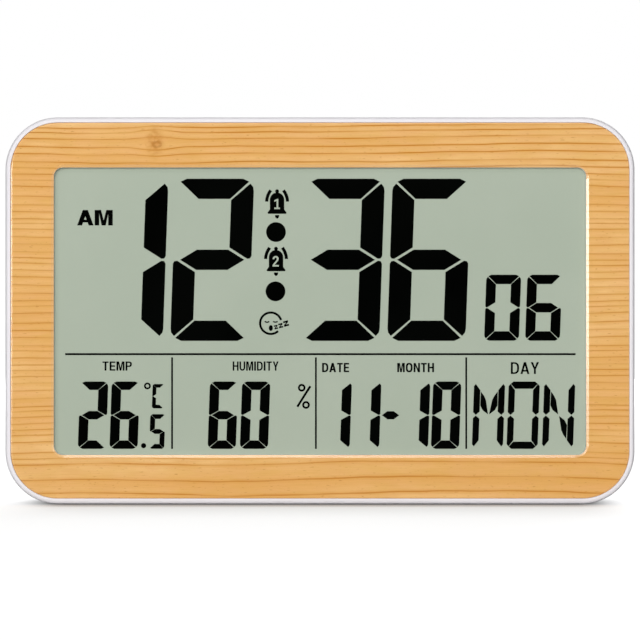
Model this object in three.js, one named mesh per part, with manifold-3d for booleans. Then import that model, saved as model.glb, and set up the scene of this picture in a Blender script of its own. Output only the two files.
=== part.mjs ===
// A digital wall and table clock: a wood-faced case with a large reflective display, a fold-out stand,
// a swinging battery door and a bank of six keys on its back.
// Millimetres. X runs to the right as seen from the front, Y from the front to the back, Z up.
// Depths are counted from the front of the rim, and the finished clock is centred on Y at the end.

import * as THREE from 'three';
import { mergeVertices } from 'three/addons/utils/BufferGeometryUtils.js';
import Module from 'manifold-3d';

const wasm = await Module();
wasm.setup();

// Case
const WIDTH = 216;
const HEIGHT = 132.7;
const CORNER_RADIUS = 18;
const SIDE_WALL = 2;
const BACK_WALL = 2;
const RIM_WIDTH = 1.9;
const RIM_ROUND = 1.5;
const BACK_ROUND = 4;
const FRONT_SHELL_DEPTH = 16;
const PARTING_GAP = 0.3;
const TONGUE_THICK = 1;
const TONGUE_REACH = 2;

// Clearances
const SEAT = 0.1; // between faces that bear on each other
const PLAY = 0.3; // round loose and moving pieces
const OVERCUT = 1; // how far a cut runs past a face, or a moulded feature runs into its wall

// Wood panel and its window
const PANEL_THICK = 1.2;
const PANEL_SET_BACK = 0.1;
const PANEL_PLAY = 0.15;
const PANEL_EDGE_ROUND = 0.5;
const WINDOW_EDGE_BEVEL = 0.6;
const WINDOW_RADIUS = 3;
const BORDER_SIDE = 16.7;
const BORDER_TOP = 17.3;
const BORDER_BOTTOM = 16.8;

// Display
const WEB_THICK = 2.2;
const WEB_LIP = 1;
const DISPLAY_MARGIN = 2.5;
const CONTACT_LEDGE = 3.5;
const FILM_THICK = 0.3;
const FILM_MARGIN = 1;
const GLASS_THICK = 1.1;

// Clamp frame behind the display
const CLAMP_THICK = 2.6;
const CLAMP_OVERHANG = 1.2;
const CLAMP_BAR = 14;
const CLAMP_TOP_BAR = 8;
const CLAMP_CROSS_BAR = 9;
const CLAMP_CROSS_RISE = 1.5;
const CLAMP_RADIUS = 3;
const CLAMP_SCREW_FROM_SIDE = 30;
const POST_RADIUS = 2.6;
const POST_GAP = 0.8;
const EAR_RADIUS = 3.2;

// Contact strip and circuit board
const STRIP_THICK = 2.4;
const STRIP_FROM_EDGE = 0.5;
const STRIP_END_GAP = 7;
const BOARD_THICK = 1.6;
const BOARD_TO_TUB = 16;
const BOARD_HEIGHT = 76;
const BOARD_RADIUS = 2;
const BOARD_INSET = 2.8;
const BOARD_DROP = 0.3;
const BOARD_SCREW_INSET = 4;
const BOARD_SCREW_RISE = 9;

// Pieces on the board
const CHIP_RADIUS = 9;
const CHIP_RISE = 1.8;
const CHIP_FROM_RIGHT = 20;
const CHIP_FROM_BOTTOM = 30;
const CRYSTAL_RADIUS = 1.5;
const CRYSTAL_LENGTH = 8;
const CRYSTAL_FROM_CHIP = 5;
const CAPACITOR_RADIUS = 2.5;
const CAPACITOR_HEIGHT = 6;
const CAPACITOR_NECK = 0.8;
const CAPACITOR_FROM_CHIP = 8;
const HUMIDITY_SENSOR = { width: 11, height: 8, rise: 5, slitPitch: 2.8 };
const THERMISTOR_RADIUS = 1.6;
const THERMISTOR_RISE = 6;
const THERMISTOR_NECK = { radius: 0.8, rise: 2 };
const SENSOR_GAP = 7;

// Tact switches and keys
const SWITCH_SIZE = 6;
const SWITCH_HEIGHT = 3.5;
const SWITCH_BORE_DEPTH = 2;
const PLUNGER_RADIUS = 1.7;
const PLUNGER_RISE = 1.5;
const PLUNGER_SUNK = 1.2;
const KEY_NAMES = ['mode', 'up', 'alarm', 'down', 'unit', 'snooze'];
const KEY_COLUMNS = 2;
const KEY_PITCH_X = 20;
const KEY_PITCH_Z = 15;
const KEY_BANK_FROM_SIDE = 46;
const KEY_BANK_Z = 60;
const KEY_WIDTH = 11;
const KEY_HEIGHT = 6.5;
const KEY_RISE = 1;
const KEY_EDGE_ROUND = 0.6;
const KEY_FLANGE = 1;
const KEY_FLANGE_THICK = 1;
const KEY_STEM_RADIUS = 2.2;
const KEY_BAY_DEPTH = 1.2;
const KEY_BAY_MARGIN = 7;
const KEY_BAY_RADIUS = 4;

// Battery compartment: two cells lie along X, one above the other
const CELL_RADIUS = 5.25;
const CELL_LENGTH = 44.5;
const CELL_NUB_RADIUS = 1.9;
const CELL_NUB_RISE = 0.8;
const CELL_EDGE_ROUND = 0.6;
const TUB_FROM_SIDE = 46;
const TUB_Z = 62;
const TUB_WALL = 1.5;
const TUB_TO_BOARD = 1.5;
const CONTACT_THICK = 0.4;
const CONTACT_WIDTH = 8.4;
const CONTACT_BUMP_RADIUS = 2;
const CONTACT_BUMP_RISE = 0.8;
const TAG_WIDTH = 2.5;
const TAG_REACH = 3;
const SPRING_LENGTH = 4.5;
const SPRING_TURNS = 3;
const SPRING_WIRE_RADIUS = 0.35;
const SPRING_BASE_RADIUS = 3.6;
const SPRING_TIP_RADIUS = 2.2;

// Battery door
const DOOR_THICK = 1.8;
const DOOR_SET_BACK = 0.1;
const DOOR_LEDGE = 2.5;
const DOOR_LEDGE_THICK = 1.5;
const DOOR_RADIUS = 2;
const DOOR_TAB_WIDTH = 7;
const DOOR_TAB_THICK = 1.2;
const DOOR_TAB_REACH = 2.8;
const DOOR_TAB_SPACING = 30;
const LATCH_WIDTH = 13;
const LATCH_THICK = 1.2;
const LATCH_BEND_RADIUS = 2.5;
const LATCH_ARM = 4.2;
const LATCH_SLOT = 1.2;
const THUMB_GAP = 4.8;

// Stand
const STAND_TO_DOOR = 1.1;
const LEG_TAPER = 6;
const LEG_THICK = 2.6;
const LEG_SET_BACK = 0.2;
const LEG_FOOT_Z = 5;
const LEG_FOOT_ROUND = 6;
const LEG_NOTCH_RADIUS = 8;
const LEG_HEEL = 3.4;
const LEG_OPEN_DEGREES = 28;
const HINGE_Z = 62;
const BARREL_RADIUS = 1.9;
const PIN_RADIUS = 1.3;
const PIN_GRIP = 1.6;
const TRAY_FLOOR_GAP = 0.5;
const TRAY_WALL = 1.6;
const SOCKET_WALL = 2.8;
const SCOOP_DEPTH = 6;

// Wall keyhole
const KEYHOLE_ENTRY_RADIUS = 4.5;
const KEYHOLE_SLOT_RADIUS = 2.3;
const KEYHOLE_DROP = 7;
const KEYHOLE_FROM_TOP = 13;
const KEYHOLE_POCKET = 4.8;
const KEYHOLE_WALL = 1.8;

// Buzzer, sound holes and vents
const BUZZER_RADIUS = 10;
const BUZZER_PLATE_THICK = 0.3;
const BUZZER_DISC_RADIUS = 7;
const BUZZER_DISC_THICK = 0.25;
const BUZZER_RING_WIDTH = 1.4;
const BUZZER_RING_HEIGHT = 2;
const BUZZER_FROM_SIDE = 46;
const BUZZER_FROM_TOP = 26;
const SOUND_HOLE_RADIUS = 1;
const SOUND_HOLE_COUNT = 6;
const SOUND_HOLE_CIRCLE = 4.2;
const VENT_COUNT = 7;
const VENT_PITCH = 3.6;
const VENT_WIDTH = 1.6;
const VENT_HEIGHT = 14;

// Screws
const CASE_SCREW_Z = [30, 103];
const CASE_SCREW_TOP_X = 45;
const CASE_SCREW_WALL_GAP = 1.2;
const BOSS_RADIUS = 3;
const BOSS_DEPTH = 15;
const PILLAR_RADIUS = 4;
const COUNTERBORE_RADIUS = 2.9;
const PILLAR_FLOOR = 3;
const SCREW_HOLE_PLAY = 0.25;
const CASE_SCREW = { radius: 1.25, length: 10, headRadius: 2.5, headHeight: 1.8 };
const SMALL_SCREW = { radius: 0.9, length: 3.6, headRadius: 1.8, headHeight: 1.2 };

// Wires
const WIRE_RADIUS = 0.6;
const BATTERY_PAD_FROM_RIGHT = 8;
const BATTERY_PAD_SHIFT = 3;
const BUZZER_PAD_FROM_BAY = 4;
const BUZZER_PAD_FROM_TOP = 8;
const BUZZER_WIRE_SPACING = 5;

// Facets
const CORNER_STEPS = 8;
const SMALL_CORNER_STEPS = 4;
const ROUND_STEPS = 3;
const SMALL_ROUND_STEPS = 2;
const OUTLINE_ARC_STEPS = 4;
const ROD_SIDES = 16;
const SMALL_ROD_SIDES = 10;
const WIRE_SIDES = 8;
const WIRE_STEPS_PER_POINT = 4;
const SPRING_SIDES = 5;
const SPRING_STEPS_PER_TURN = 8;
const MERGE_DISTANCE = 1e-4;

// Depths of the stack, from the front of the rim
const panelFront = PANEL_SET_BACK;
const panelBack = panelFront + PANEL_THICK;
const webFront = panelBack + SEAT;
const webBack = webFront + WEB_THICK;
const lipBack = webFront + WEB_LIP;
const polariserFront = lipBack + SEAT;
const frontGlassFront = polariserFront + FILM_THICK + SEAT;
const frontGlassBack = frontGlassFront + GLASS_THICK;
const rearGlassFront = frontGlassBack + SEAT;
const reflectorFront = rearGlassFront + GLASS_THICK + SEAT;
const clampFront = reflectorFront + FILM_THICK + SEAT;
const clampBack = clampFront + CLAMP_THICK;
const boardFront = clampBack + SEAT;
const boardBack = boardFront + BOARD_THICK;
const tubFront = boardBack + TUB_TO_BOARD;
const cellDepth = tubFront + TUB_WALL + PLAY + CELL_RADIUS;
const doorBack = cellDepth + CELL_RADIUS + PLAY;
const doorOuter = doorBack + DOOR_THICK;
const DEPTH = doorOuter + DOOR_SET_BACK;
const backInner = DEPTH - BACK_WALL;
const rearCoverFront = FRONT_SHELL_DEPTH + PARTING_GAP;

// Window and display outlines
const windowLeft = BORDER_SIDE - WIDTH / 2;
const windowRight = WIDTH / 2 - BORDER_SIDE;
const windowBottom = BORDER_BOTTOM;
const windowTop = HEIGHT - BORDER_TOP;
const glassLeft = windowLeft - DISPLAY_MARGIN;
const glassRight = windowRight + DISPLAY_MARGIN;
const glassTop = windowTop + DISPLAY_MARGIN;
const rearGlassBottom = windowBottom - DISPLAY_MARGIN;
const glassBottom = rearGlassBottom - CONTACT_LEDGE;

// Clamp screws sit on posts just outside the glass, and case screws on bosses along the side walls
const clampScrewX = WIDTH / 2 - CLAMP_SCREW_FROM_SIDE;
const clampScrews = [-clampScrewX, clampScrewX].flatMap((x) => [
  [x, glassBottom - POST_GAP - POST_RADIUS],
  [x, glassTop + POST_GAP + POST_RADIUS],
]);
const caseScrewInset = SIDE_WALL + CASE_SCREW_WALL_GAP + PILLAR_RADIUS;
const caseScrews = [-1, 1].flatMap((side) => [
  ...CASE_SCREW_Z.map((z) => [side * (WIDTH / 2 - caseScrewInset), z]),
  [side * CASE_SCREW_TOP_X, HEIGHT - caseScrewInset],
]);
const pillarFront = BOSS_DEPTH + PARTING_GAP;
const caseScrewSeat = pillarFront + PILLAR_FLOOR;

// Keys: places of the bank's six keys, and the depths that its keys and switches share
const keyBankX = KEY_BANK_FROM_SIDE - WIDTH / 2;
const keyRows = KEY_NAMES.length / KEY_COLUMNS;
const keyPlaces = KEY_NAMES.map((name, index) => {
  const column = index % KEY_COLUMNS;
  const row = Math.floor(index / KEY_COLUMNS);
  const x = keyBankX + ((KEY_COLUMNS - 1) / 2 - column) * KEY_PITCH_X;
  const z = KEY_BANK_Z + ((keyRows - 1) / 2 - row) * KEY_PITCH_Z;
  return { name, x, z };
});
const keyBayFloor = DEPTH - KEY_BAY_DEPTH;
const keyBayWidth = (KEY_COLUMNS - 1) * KEY_PITCH_X + KEY_WIDTH + 2 * KEY_BAY_MARGIN;
const keyBayHeight = (keyRows - 1) * KEY_PITCH_Z + KEY_HEIGHT + 2 * KEY_BAY_MARGIN;
const keyPadInner = keyBayFloor - BACK_WALL;
const switchBase = boardBack + SEAT;
const plungerTop = switchBase + SWITCH_HEIGHT + PLUNGER_RISE;

// Battery compartment: what lies along X, then the heights up to the door
const tubX = WIDTH / 2 - TUB_FROM_SIDE;
const contactStack = SEAT + CONTACT_THICK;
const springEnd = contactStack + SPRING_LENGTH + SEAT;
const bumpEnd = contactStack + CONTACT_BUMP_RISE + SEAT;
const tubHalfLength = (springEnd + CELL_LENGTH + bumpEnd) / 2;
const tubLeft = tubX - tubHalfLength;
const tubRight = tubX + tubHalfLength;
const cellPitch = 2 * CELL_RADIUS + PLAY;
const upperCellZ = TUB_Z + cellPitch / 2;
const lowerCellZ = TUB_Z - cellPitch / 2;
const tubTop = upperCellZ + CELL_RADIUS + PLAY;
const tubBottom = lowerCellZ - CELL_RADIUS - PLAY;
const latchHeight = 2 * LATCH_BEND_RADIUS;
const doorTop = tubTop + DOOR_LEDGE;
const doorBottom = tubBottom - PLAY - latchHeight;
const doorLeft = tubLeft - DOOR_LEDGE;
const doorRight = tubRight + DOOR_LEDGE;
const tabBack = backInner - PLAY;
const tabFront = tabBack - DOOR_TAB_THICK;
const tabSweep = Math.hypot(doorOuter - tabFront, DOOR_TAB_REACH);
const tabPlaces = [tubX - DOOR_TAB_SPACING / 2, tubX + DOOR_TAB_SPACING / 2];
const latchFront = doorOuter - LATCH_ARM - LATCH_BEND_RADIUS;
const tagDepth = cellDepth - CONTACT_WIDTH / 2;
const tagEnd = tubLeft - TUB_WALL - TAG_REACH;

// Board outline and the board's screws; the board stops short of the battery compartment
const boardLeft = glassLeft + BOARD_INSET;
const boardRight = tubLeft - TUB_WALL - BOARD_TO_TUB;
const boardBottom = glassBottom - BOARD_DROP;
const boardTop = boardBottom + BOARD_HEIGHT;
const boardScrews = [boardLeft + BOARD_SCREW_INSET, boardRight - BOARD_SCREW_INSET].flatMap((x) => [
  [x, boardBottom + BOARD_SCREW_RISE],
  [x, boardTop - BOARD_SCREW_INSET],
]);

// Stand: its width beside the battery door, the hinge axis, and the room that the heel needs as the leg opens
const socketOuter = doorLeft - PLAY - TUB_WALL - STAND_TO_DOOR;
const legHalf = socketOuter - SOCKET_WALL - PLAY;
const footHalf = legHalf - LEG_TAPER;
const legOuter = DEPTH - LEG_SET_BACK;
const hingeDepth = legOuter - BARREL_RADIUS;
const legInner = legOuter - LEG_THICK;
const legLength = HINGE_Z - LEG_FOOT_Z;
const openAngle = THREE.MathUtils.degToRad(LEG_OPEN_DEGREES);
const heelSink = (hingeDepth - legInner) * Math.cos(openAngle) + LEG_HEEL * Math.sin(openAngle);
const heelReach = Math.hypot(legOuter - hingeDepth, LEG_HEEL);
const trayFloor = legInner - TRAY_FLOOR_GAP;
const troughFloor = hingeDepth - Math.max(heelSink, BARREL_RADIUS) - PLAY;
const troughTop = HINGE_Z + heelReach + PLAY;
const troughBottom = HINGE_Z - BARREL_RADIUS - PLAY;
const pinEnd = legHalf + PLAY + PIN_GRIP;

// Buzzer, keyhole and sensors
const buzzerX = BUZZER_FROM_SIDE - WIDTH / 2;
const buzzerZ = HEIGHT - BUZZER_FROM_TOP;
const buzzerBack = backInner - BUZZER_RING_HEIGHT - SEAT;
const keyholeSlotZ = HEIGHT - KEYHOLE_FROM_TOP;
const keyholeEntryZ = keyholeSlotZ - KEYHOLE_DROP;
const ventX = boardLeft + BOARD_SCREW_INSET + SENSOR_GAP + HUMIDITY_SENSOR.width / 2;
const ventZ = boardBottom + BOARD_SCREW_RISE + HUMIDITY_SENSOR.height / 2;

// Solids, joins and cuts

function solid(geometry) {
  const bare = new THREE.BufferGeometry();
  bare.setAttribute('position', geometry.getAttribute('position'));
  bare.setIndex(geometry.index);
  const merged = mergeVertices(bare, MERGE_DISTANCE);
  const corners = merged.index.array;
  const kept = [];
  for (let i = 0; i < corners.length; i += 3) {
    const [a, b, c] = [corners[i], corners[i + 1], corners[i + 2]];
    if (a !== b && b !== c && a !== c) kept.push(a, b, c);
  }
  const vertProperties = new Float32Array(merged.getAttribute('position').array);
  const triVerts = new Uint32Array(kept);
  return new wasm.Manifold(new wasm.Mesh({ numProp: 3, vertProperties, triVerts }));
}

function geometryOf(shape) {
  const mesh = shape.getMesh();
  const geometry = new THREE.BufferGeometry();
  geometry.setAttribute('position', new THREE.BufferAttribute(new Float32Array(mesh.vertProperties), 3));
  geometry.setIndex(new THREE.BufferAttribute(new Uint32Array(mesh.triVerts), 1));
  geometry.computeVertexNormals();
  return geometry;
}

const join = (shapes) => shapes.reduce((whole, shape) => whole.add(shape));
const cut = (shape, holes) => holes.reduce((rest, hole) => rest.subtract(hole), shape);

function box([left, right], [front, back], [bottom, top]) {
  const geometry = new THREE.BoxGeometry(right - left, back - front, top - bottom);
  return solid(geometry.translate((left + right) / 2, (front + back) / 2, (bottom + top) / 2));
}

function rod(radius, front, back, x, z, sides = ROD_SIDES) {
  const geometry = new THREE.CylinderGeometry(radius, radius, back - front, sides);
  return solid(geometry.translate(x, (front + back) / 2, z));
}

function crossRod(radius, left, right, depth, z) {
  const geometry = new THREE.CylinderGeometry(radius, radius, right - left, SMALL_ROD_SIDES);
  return solid(geometry.rotateZ(Math.PI / 2).translate((left + right) / 2, depth, z));
}

function revolve(points, sides = ROD_SIDES) {
  return new THREE.LatheGeometry(points.map(([r, y]) => new THREE.Vector2(r, y)), sides);
}

// three.js gives an arc two points for each of these segments
const curveSegments = OUTLINE_ARC_STEPS / 2;

// An outline drawn in X and Z, given its thickness from one depth to another
function plate(shape, front, back) {
  const options = { depth: back - front, bevelEnabled: false, curveSegments };
  return solid(new THREE.ExtrudeGeometry(shape, options).rotateX(Math.PI / 2).translate(0, back, 0));
}

// A closed tube along a curve
function tube(radius, sides, path, steps) {
  const corners = Array.from({ length: sides }, (_, side) => {
    const angle = (side / sides) * 2 * Math.PI;
    return new THREE.Vector2(radius * Math.cos(angle), radius * Math.sin(angle));
  });
  return solid(new THREE.ExtrudeGeometry(new THREE.Shape(corners), { extrudePath: path, steps }));
}

// An outline drawn in depth and Z, run from one X to another
function bar(shape, left, right) {
  const options = { depth: right - left, bevelEnabled: false, curveSegments };
  const turn = new THREE.Matrix4().makeBasis(
    new THREE.Vector3(0, 1, 0),
    new THREE.Vector3(0, 0, 1),
    new THREE.Vector3(1, 0, 0),
  );
  return solid(new THREE.ExtrudeGeometry(shape, options).applyMatrix4(turn).translate(left, 0, 0));
}

function roundedOutline([left, right], [bottom, top], radius) {
  const shape = new THREE.Shape();
  shape.absarc(right - radius, top - radius, radius, 0, Math.PI / 2);
  shape.absarc(left + radius, top - radius, radius, Math.PI / 2, Math.PI);
  shape.absarc(left + radius, bottom + radius, radius, Math.PI, 1.5 * Math.PI);
  shape.absarc(right - radius, bottom + radius, radius, 1.5 * Math.PI, 2 * Math.PI);
  return shape;
}

// A rounded rectangle carried through depth stations of [depth, inset]; a negative inset spreads it
function loft([left, right], [bottom, top], radius, stations, cornerSteps = CORNER_STEPS) {
  const rings = stations.map(([depth, inset]) => {
    const round = radius - inset;
    const points = [];
    for (let corner = 0; corner < 4; corner++) {
      const x = corner === 0 || corner === 3 ? right - radius : left + radius;
      const z = corner < 2 ? top - radius : bottom + radius;
      for (let step = 0; step <= cornerSteps; step++) {
        const angle = ((corner + step / cornerSteps) * Math.PI) / 2;
        points.push(x + round * Math.cos(angle), depth, z + round * Math.sin(angle));
      }
    }
    return points;
  });
  const count = rings[0].length / 3;
  const last = (rings.length - 1) * count;
  const index = [];
  for (let i = 0; i < count; i++) {
    const next = (i + 1) % count;
    for (let base = 0; base < last; base += count) {
      index.push(base + i, base + count + i, base + next);
      index.push(base + next, base + count + i, base + count + next);
    }
    index.push(0, i, next);
    index.push(last, last + next, last + i);
  }
  const geometry = new THREE.BufferGeometry();
  geometry.setAttribute('position', new THREE.Float32BufferAttribute(rings.flat(), 3));
  geometry.setIndex(index);
  return solid(geometry);
}

const quarter = (steps) => Array.from({ length: steps + 1 }, (_, step) => ((step / steps) * Math.PI) / 2);
const roundedFront = (depth, r, steps) =>
  quarter(steps).map((a) => [depth + r * (1 - Math.cos(a)), r * (1 - Math.sin(a))]);
const roundedBack = (depth, r, steps) =>
  quarter(steps).map((a) => [depth - r * (1 - Math.sin(a)), r * (1 - Math.cos(a))]);
const inward = (low, high, wall) => [low + wall, high - wall];

// The case's own outline, drawn in all round, and a straight band of it
const caseOutline = (inset) => [
  inward(-WIDTH / 2, WIDTH / 2, inset),
  inward(0, HEIGHT, inset),
  CORNER_RADIUS - inset,
];
const caseBand = (inset, front, back) => loft(...caseOutline(inset), [[front, 0], [back, 0]]);

// Finishes

const whitePlastic = { color: 0xf0ecf0, roughness: 0.45, metalness: 0 };
const woodGrain = { color: 0xe9b470, roughness: 0.5, metalness: 0 };
const displayFace = { color: 0xaeb9a9, roughness: 0.6, metalness: 0 };
const clearGlass = { color: 0xd8e4de, roughness: 0.1, metalness: 0, transparent: true, opacity: 0.4 };
const silverFilm = { color: 0xb8beb8, roughness: 0.35, metalness: 0.6 };
const greyPlastic = { color: 0x9a9c9e, roughness: 0.55, metalness: 0 };
const blackRubber = { color: 0x1c1c1e, roughness: 0.8, metalness: 0 };
const greenBoard = { color: 0x1f5f3c, roughness: 0.5, metalness: 0 };
const blackPlastic = { color: 0x18181a, roughness: 0.4, metalness: 0 };
const steel = { color: 0xb9bcc0, roughness: 0.3, metalness: 1 };
const brass = { color: 0xc9a24e, roughness: 0.35, metalness: 1 };
const bluePlastic = { color: 0x3f6fa8, roughness: 0.5, metalness: 0 };
const keyPlastic = { color: 0xe4e2e4, roughness: 0.5, metalness: 0 };
const cellJacket = { color: 0x3a4a46, roughness: 0.35, metalness: 0.2 };
const redWire = { color: 0xb3201c, roughness: 0.5, metalness: 0 };
const blackWire = { color: 0x1a1a1a, roughness: 0.5, metalness: 0 };

// Front shell: rim, web behind the panel, display pocket, screw bosses and clamp posts

function frontShell() {
  const rim = roundedFront(0, RIM_ROUND, ROUND_STEPS);
  const outside = loft(...caseOutline(0), [...rim, [FRONT_SHELL_DEPTH, 0]]);
  const inside = caseBand(SIDE_WALL, webBack, FRONT_SHELL_DEPTH + OVERCUT);
  const panelSeat = caseBand(RIM_WIDTH, -OVERCUT, webFront);
  const windowOutline = roundedOutline([windowLeft, windowRight], [windowBottom, windowTop], WINDOW_RADIUS);
  const window = plate(windowOutline, webFront - OVERCUT, webBack + OVERCUT);
  const pocket = box(
    [glassLeft - PLAY, glassRight + PLAY],
    [lipBack, webBack + OVERCUT],
    [glassBottom - PLAY, glassTop + PLAY],
  );
  const hollow = cut(outside, [inside, panelSeat, window, pocket]);
  const bosses = caseScrews.map(([x, z]) => rod(BOSS_RADIUS, lipBack, BOSS_DEPTH, x, z));
  const postBack = clampFront - SEAT;
  const posts = clampScrews.map(([x, z]) => rod(POST_RADIUS, lipBack, postBack, x, z, SMALL_ROD_SIDES));
  const pilots = caseScrews.map(([x, z]) => {
    const radius = CASE_SCREW.radius + SCREW_HOLE_PLAY;
    const bottom = caseScrewSeat - CASE_SCREW.length - OVERCUT;
    return rod(radius, bottom, BOSS_DEPTH + OVERCUT, x, z, SMALL_ROD_SIDES);
  });
  const clampPilots = clampScrews.map(([x, z]) => {
    const radius = SMALL_SCREW.radius + SCREW_HOLE_PLAY;
    return rod(radius, clampBack - SMALL_SCREW.length - PLAY, clampFront, x, z, SMALL_ROD_SIDES);
  });
  return cut(join([hollow, ...bosses, ...posts]), [...pilots, ...clampPilots]);
}

// Wood panel: rounded outer edge, and a bevelled window

function woodPanel() {
  const edge = roundedFront(panelFront, PANEL_EDGE_ROUND, SMALL_ROUND_STEPS);
  const sheet = loft(...caseOutline(RIM_WIDTH + PANEL_PLAY), [...edge, [panelBack, 0]]);
  const window = loft([windowLeft, windowRight], [windowBottom, windowTop], WINDOW_RADIUS, [
    [panelFront - OVERCUT, -WINDOW_EDGE_BEVEL - OVERCUT],
    [panelFront + WINDOW_EDGE_BEVEL, 0],
    [panelBack + OVERCUT, 0],
  ]);
  return cut(sheet, [window]);
}

// Display: the front glass carries the contact ledge along its lower edge

function displayFilm(front) {
  return box(
    inward(glassLeft, glassRight, FILM_MARGIN),
    [front, front + FILM_THICK],
    inward(rearGlassBottom, glassTop, FILM_MARGIN),
  );
}

function displayGlass(front, bottom) {
  return box([glassLeft, glassRight], [front, front + GLASS_THICK], [bottom, glassTop]);
}

// Clamp frame: a ring with a cross bar behind the display, four ears, and a slot for the contact strip

const stripSides = [boardLeft + STRIP_END_GAP, boardRight - STRIP_END_GAP];
const stripBottom = glassBottom + STRIP_FROM_EDGE;
const stripHeights = [stripBottom, stripBottom + STRIP_THICK];

function clampFrame() {
  const sides = [glassLeft - CLAMP_OVERHANG, glassRight + CLAMP_OVERHANG];
  const heights = [glassBottom - CLAMP_OVERHANG, glassTop + CLAMP_OVERHANG];
  const ring = plate(roundedOutline(sides, heights, CLAMP_RADIUS), clampFront, clampBack);
  const ears = clampScrews.map(([x, z]) => rod(EAR_RADIUS, clampFront, clampBack, x, z));
  const crossTop = boardTop + CLAMP_CROSS_RISE;
  const openingSides = inward(...sides, CLAMP_BAR);
  const openings = [
    [heights[0] + CLAMP_BAR, crossTop - CLAMP_CROSS_BAR],
    [crossTop, heights[1] - CLAMP_TOP_BAR],
  ];
  const cuts = openings.map((opening) =>
    plate(roundedOutline(openingSides, opening, CLAMP_RADIUS), clampFront - OVERCUT, clampBack + OVERCUT),
  );
  const slot = box(
    [stripSides[0] - PLAY, stripSides[1] + PLAY],
    [clampFront - OVERCUT, clampBack + OVERCUT],
    [stripHeights[0] - PLAY, stripHeights[1] + PLAY],
  );
  const radius = SMALL_SCREW.radius + SCREW_HOLE_PLAY;
  const holes = [...clampScrews, ...boardScrews].map(([x, z]) =>
    rod(radius, clampFront - OVERCUT, clampBack + OVERCUT, x, z, SMALL_ROD_SIDES),
  );
  return cut(join([ring, ...ears]), [...cuts, slot, ...holes]);
}

function contactStrip() {
  return box(stripSides, [frontGlassBack + SEAT, boardFront - SEAT], stripHeights);
}

// Circuit board and the pieces soldered to it; each of those is modelled standing on the board

function circuitBoard() {
  const outline = roundedOutline([boardLeft, boardRight], [boardBottom, boardTop], BOARD_RADIUS);
  const holes = boardScrews.map(([x, z]) => {
    const radius = SMALL_SCREW.radius + SCREW_HOLE_PLAY;
    return rod(radius, boardFront - OVERCUT, boardBack + OVERCUT, x, z, SMALL_ROD_SIDES);
  });
  return cut(plate(outline, boardFront, boardBack), holes);
}

function chipCover() {
  const crown = quarter(ROUND_STEPS).map((a) => [CHIP_RADIUS * Math.cos(a), CHIP_RISE * Math.sin(a)]);
  return solid(revolve([[0, 0], ...crown]));
}

function timingCrystal() {
  const half = CRYSTAL_LENGTH / 2;
  return crossRod(CRYSTAL_RADIUS, -half, half, CRYSTAL_RADIUS, 0);
}

function smoothingCapacitor() {
  const r = CAPACITOR_RADIUS;
  const groove = [
    [r, CAPACITOR_NECK],
    [r - PLAY, 2 * CAPACITOR_NECK],
    [r, 3 * CAPACITOR_NECK],
  ];
  const can = [[0, 0], [r, 0], ...groove, [r, CAPACITOR_HEIGHT], [0, CAPACITOR_HEIGHT]];
  return solid(revolve(can, SMALL_ROD_SIDES));
}

function humiditySensor() {
  const { width, height, rise, slitPitch } = HUMIDITY_SENSOR;
  const body = box([-width / 2, width / 2], [0, rise], [-height / 2, height / 2]);
  const slits = [-slitPitch, 0, slitPitch].map((x) =>
    box([x - PLAY, x + PLAY], [rise - OVERCUT, rise + OVERCUT], inward(-height / 2, height / 2, OVERCUT)),
  );
  return cut(body, slits);
}

function temperatureSensor() {
  const bead = quarter(ROUND_STEPS).map((a) => [
    THERMISTOR_RADIUS * Math.cos(a),
    THERMISTOR_RISE - THERMISTOR_RADIUS * (1 - Math.sin(a)),
  ]);
  const { radius, rise } = THERMISTOR_NECK;
  return solid(revolve([[0, 0], [radius, 0], [radius, rise], ...bead], SMALL_ROD_SIDES));
}

function switchBody() {
  const half = SWITCH_SIZE / 2;
  const body = box([-half, half], [0, SWITCH_HEIGHT], [-half, half]);
  const bore = rod(
    PLUNGER_RADIUS + PLAY,
    SWITCH_HEIGHT - SWITCH_BORE_DEPTH,
    SWITCH_HEIGHT + OVERCUT,
    0,
    0,
    SMALL_ROD_SIDES,
  );
  return cut(body, [bore]);
}

function switchPlunger() {
  const front = SWITCH_HEIGHT - PLUNGER_SUNK;
  return rod(PLUNGER_RADIUS, front, SWITCH_HEIGHT + PLUNGER_RISE, 0, 0, SMALL_ROD_SIDES);
}

// Keycap: a pill that shows in the bay, a flange that the back wall holds in, and a stem to the plunger

function keyOutline(grow) {
  const halfWidth = KEY_WIDTH / 2 + grow;
  const halfHeight = KEY_HEIGHT / 2 + grow;
  return [[-halfWidth, halfWidth], [-halfHeight, halfHeight], halfHeight - SEAT];
}

function keycap() {
  const top = keyBayFloor + KEY_RISE;
  const flangeBack = keyPadInner - PLAY;
  const flangeFront = flangeBack - KEY_FLANGE_THICK;
  const crown = roundedBack(top, KEY_EDGE_ROUND, SMALL_ROUND_STEPS);
  const pill = loft(...keyOutline(0), [[flangeFront, 0], ...crown], SMALL_CORNER_STEPS);
  const flange = plate(roundedOutline(...keyOutline(KEY_FLANGE)), flangeFront, flangeBack);
  const stem = rod(KEY_STEM_RADIUS, plungerTop + SEAT, flangeBack, 0, 0, SMALL_ROD_SIDES);
  return join([pill, flange, stem]);
}

// Screws: the origin is under the head, the shank runs to the front

function screw({ radius, length, headRadius, headHeight }) {
  const dome = quarter(SMALL_ROUND_STEPS).map((a) => [
    headRadius * Math.cos(a),
    (headHeight * (1 + Math.sin(a))) / 2,
  ]);
  const shank = [[0, -length], [radius, radius - length], [radius, 0]];
  return solid(revolve([...shank, [headRadius, 0], ...dome], SMALL_ROD_SIDES));
}

// Cells and their contacts

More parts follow.
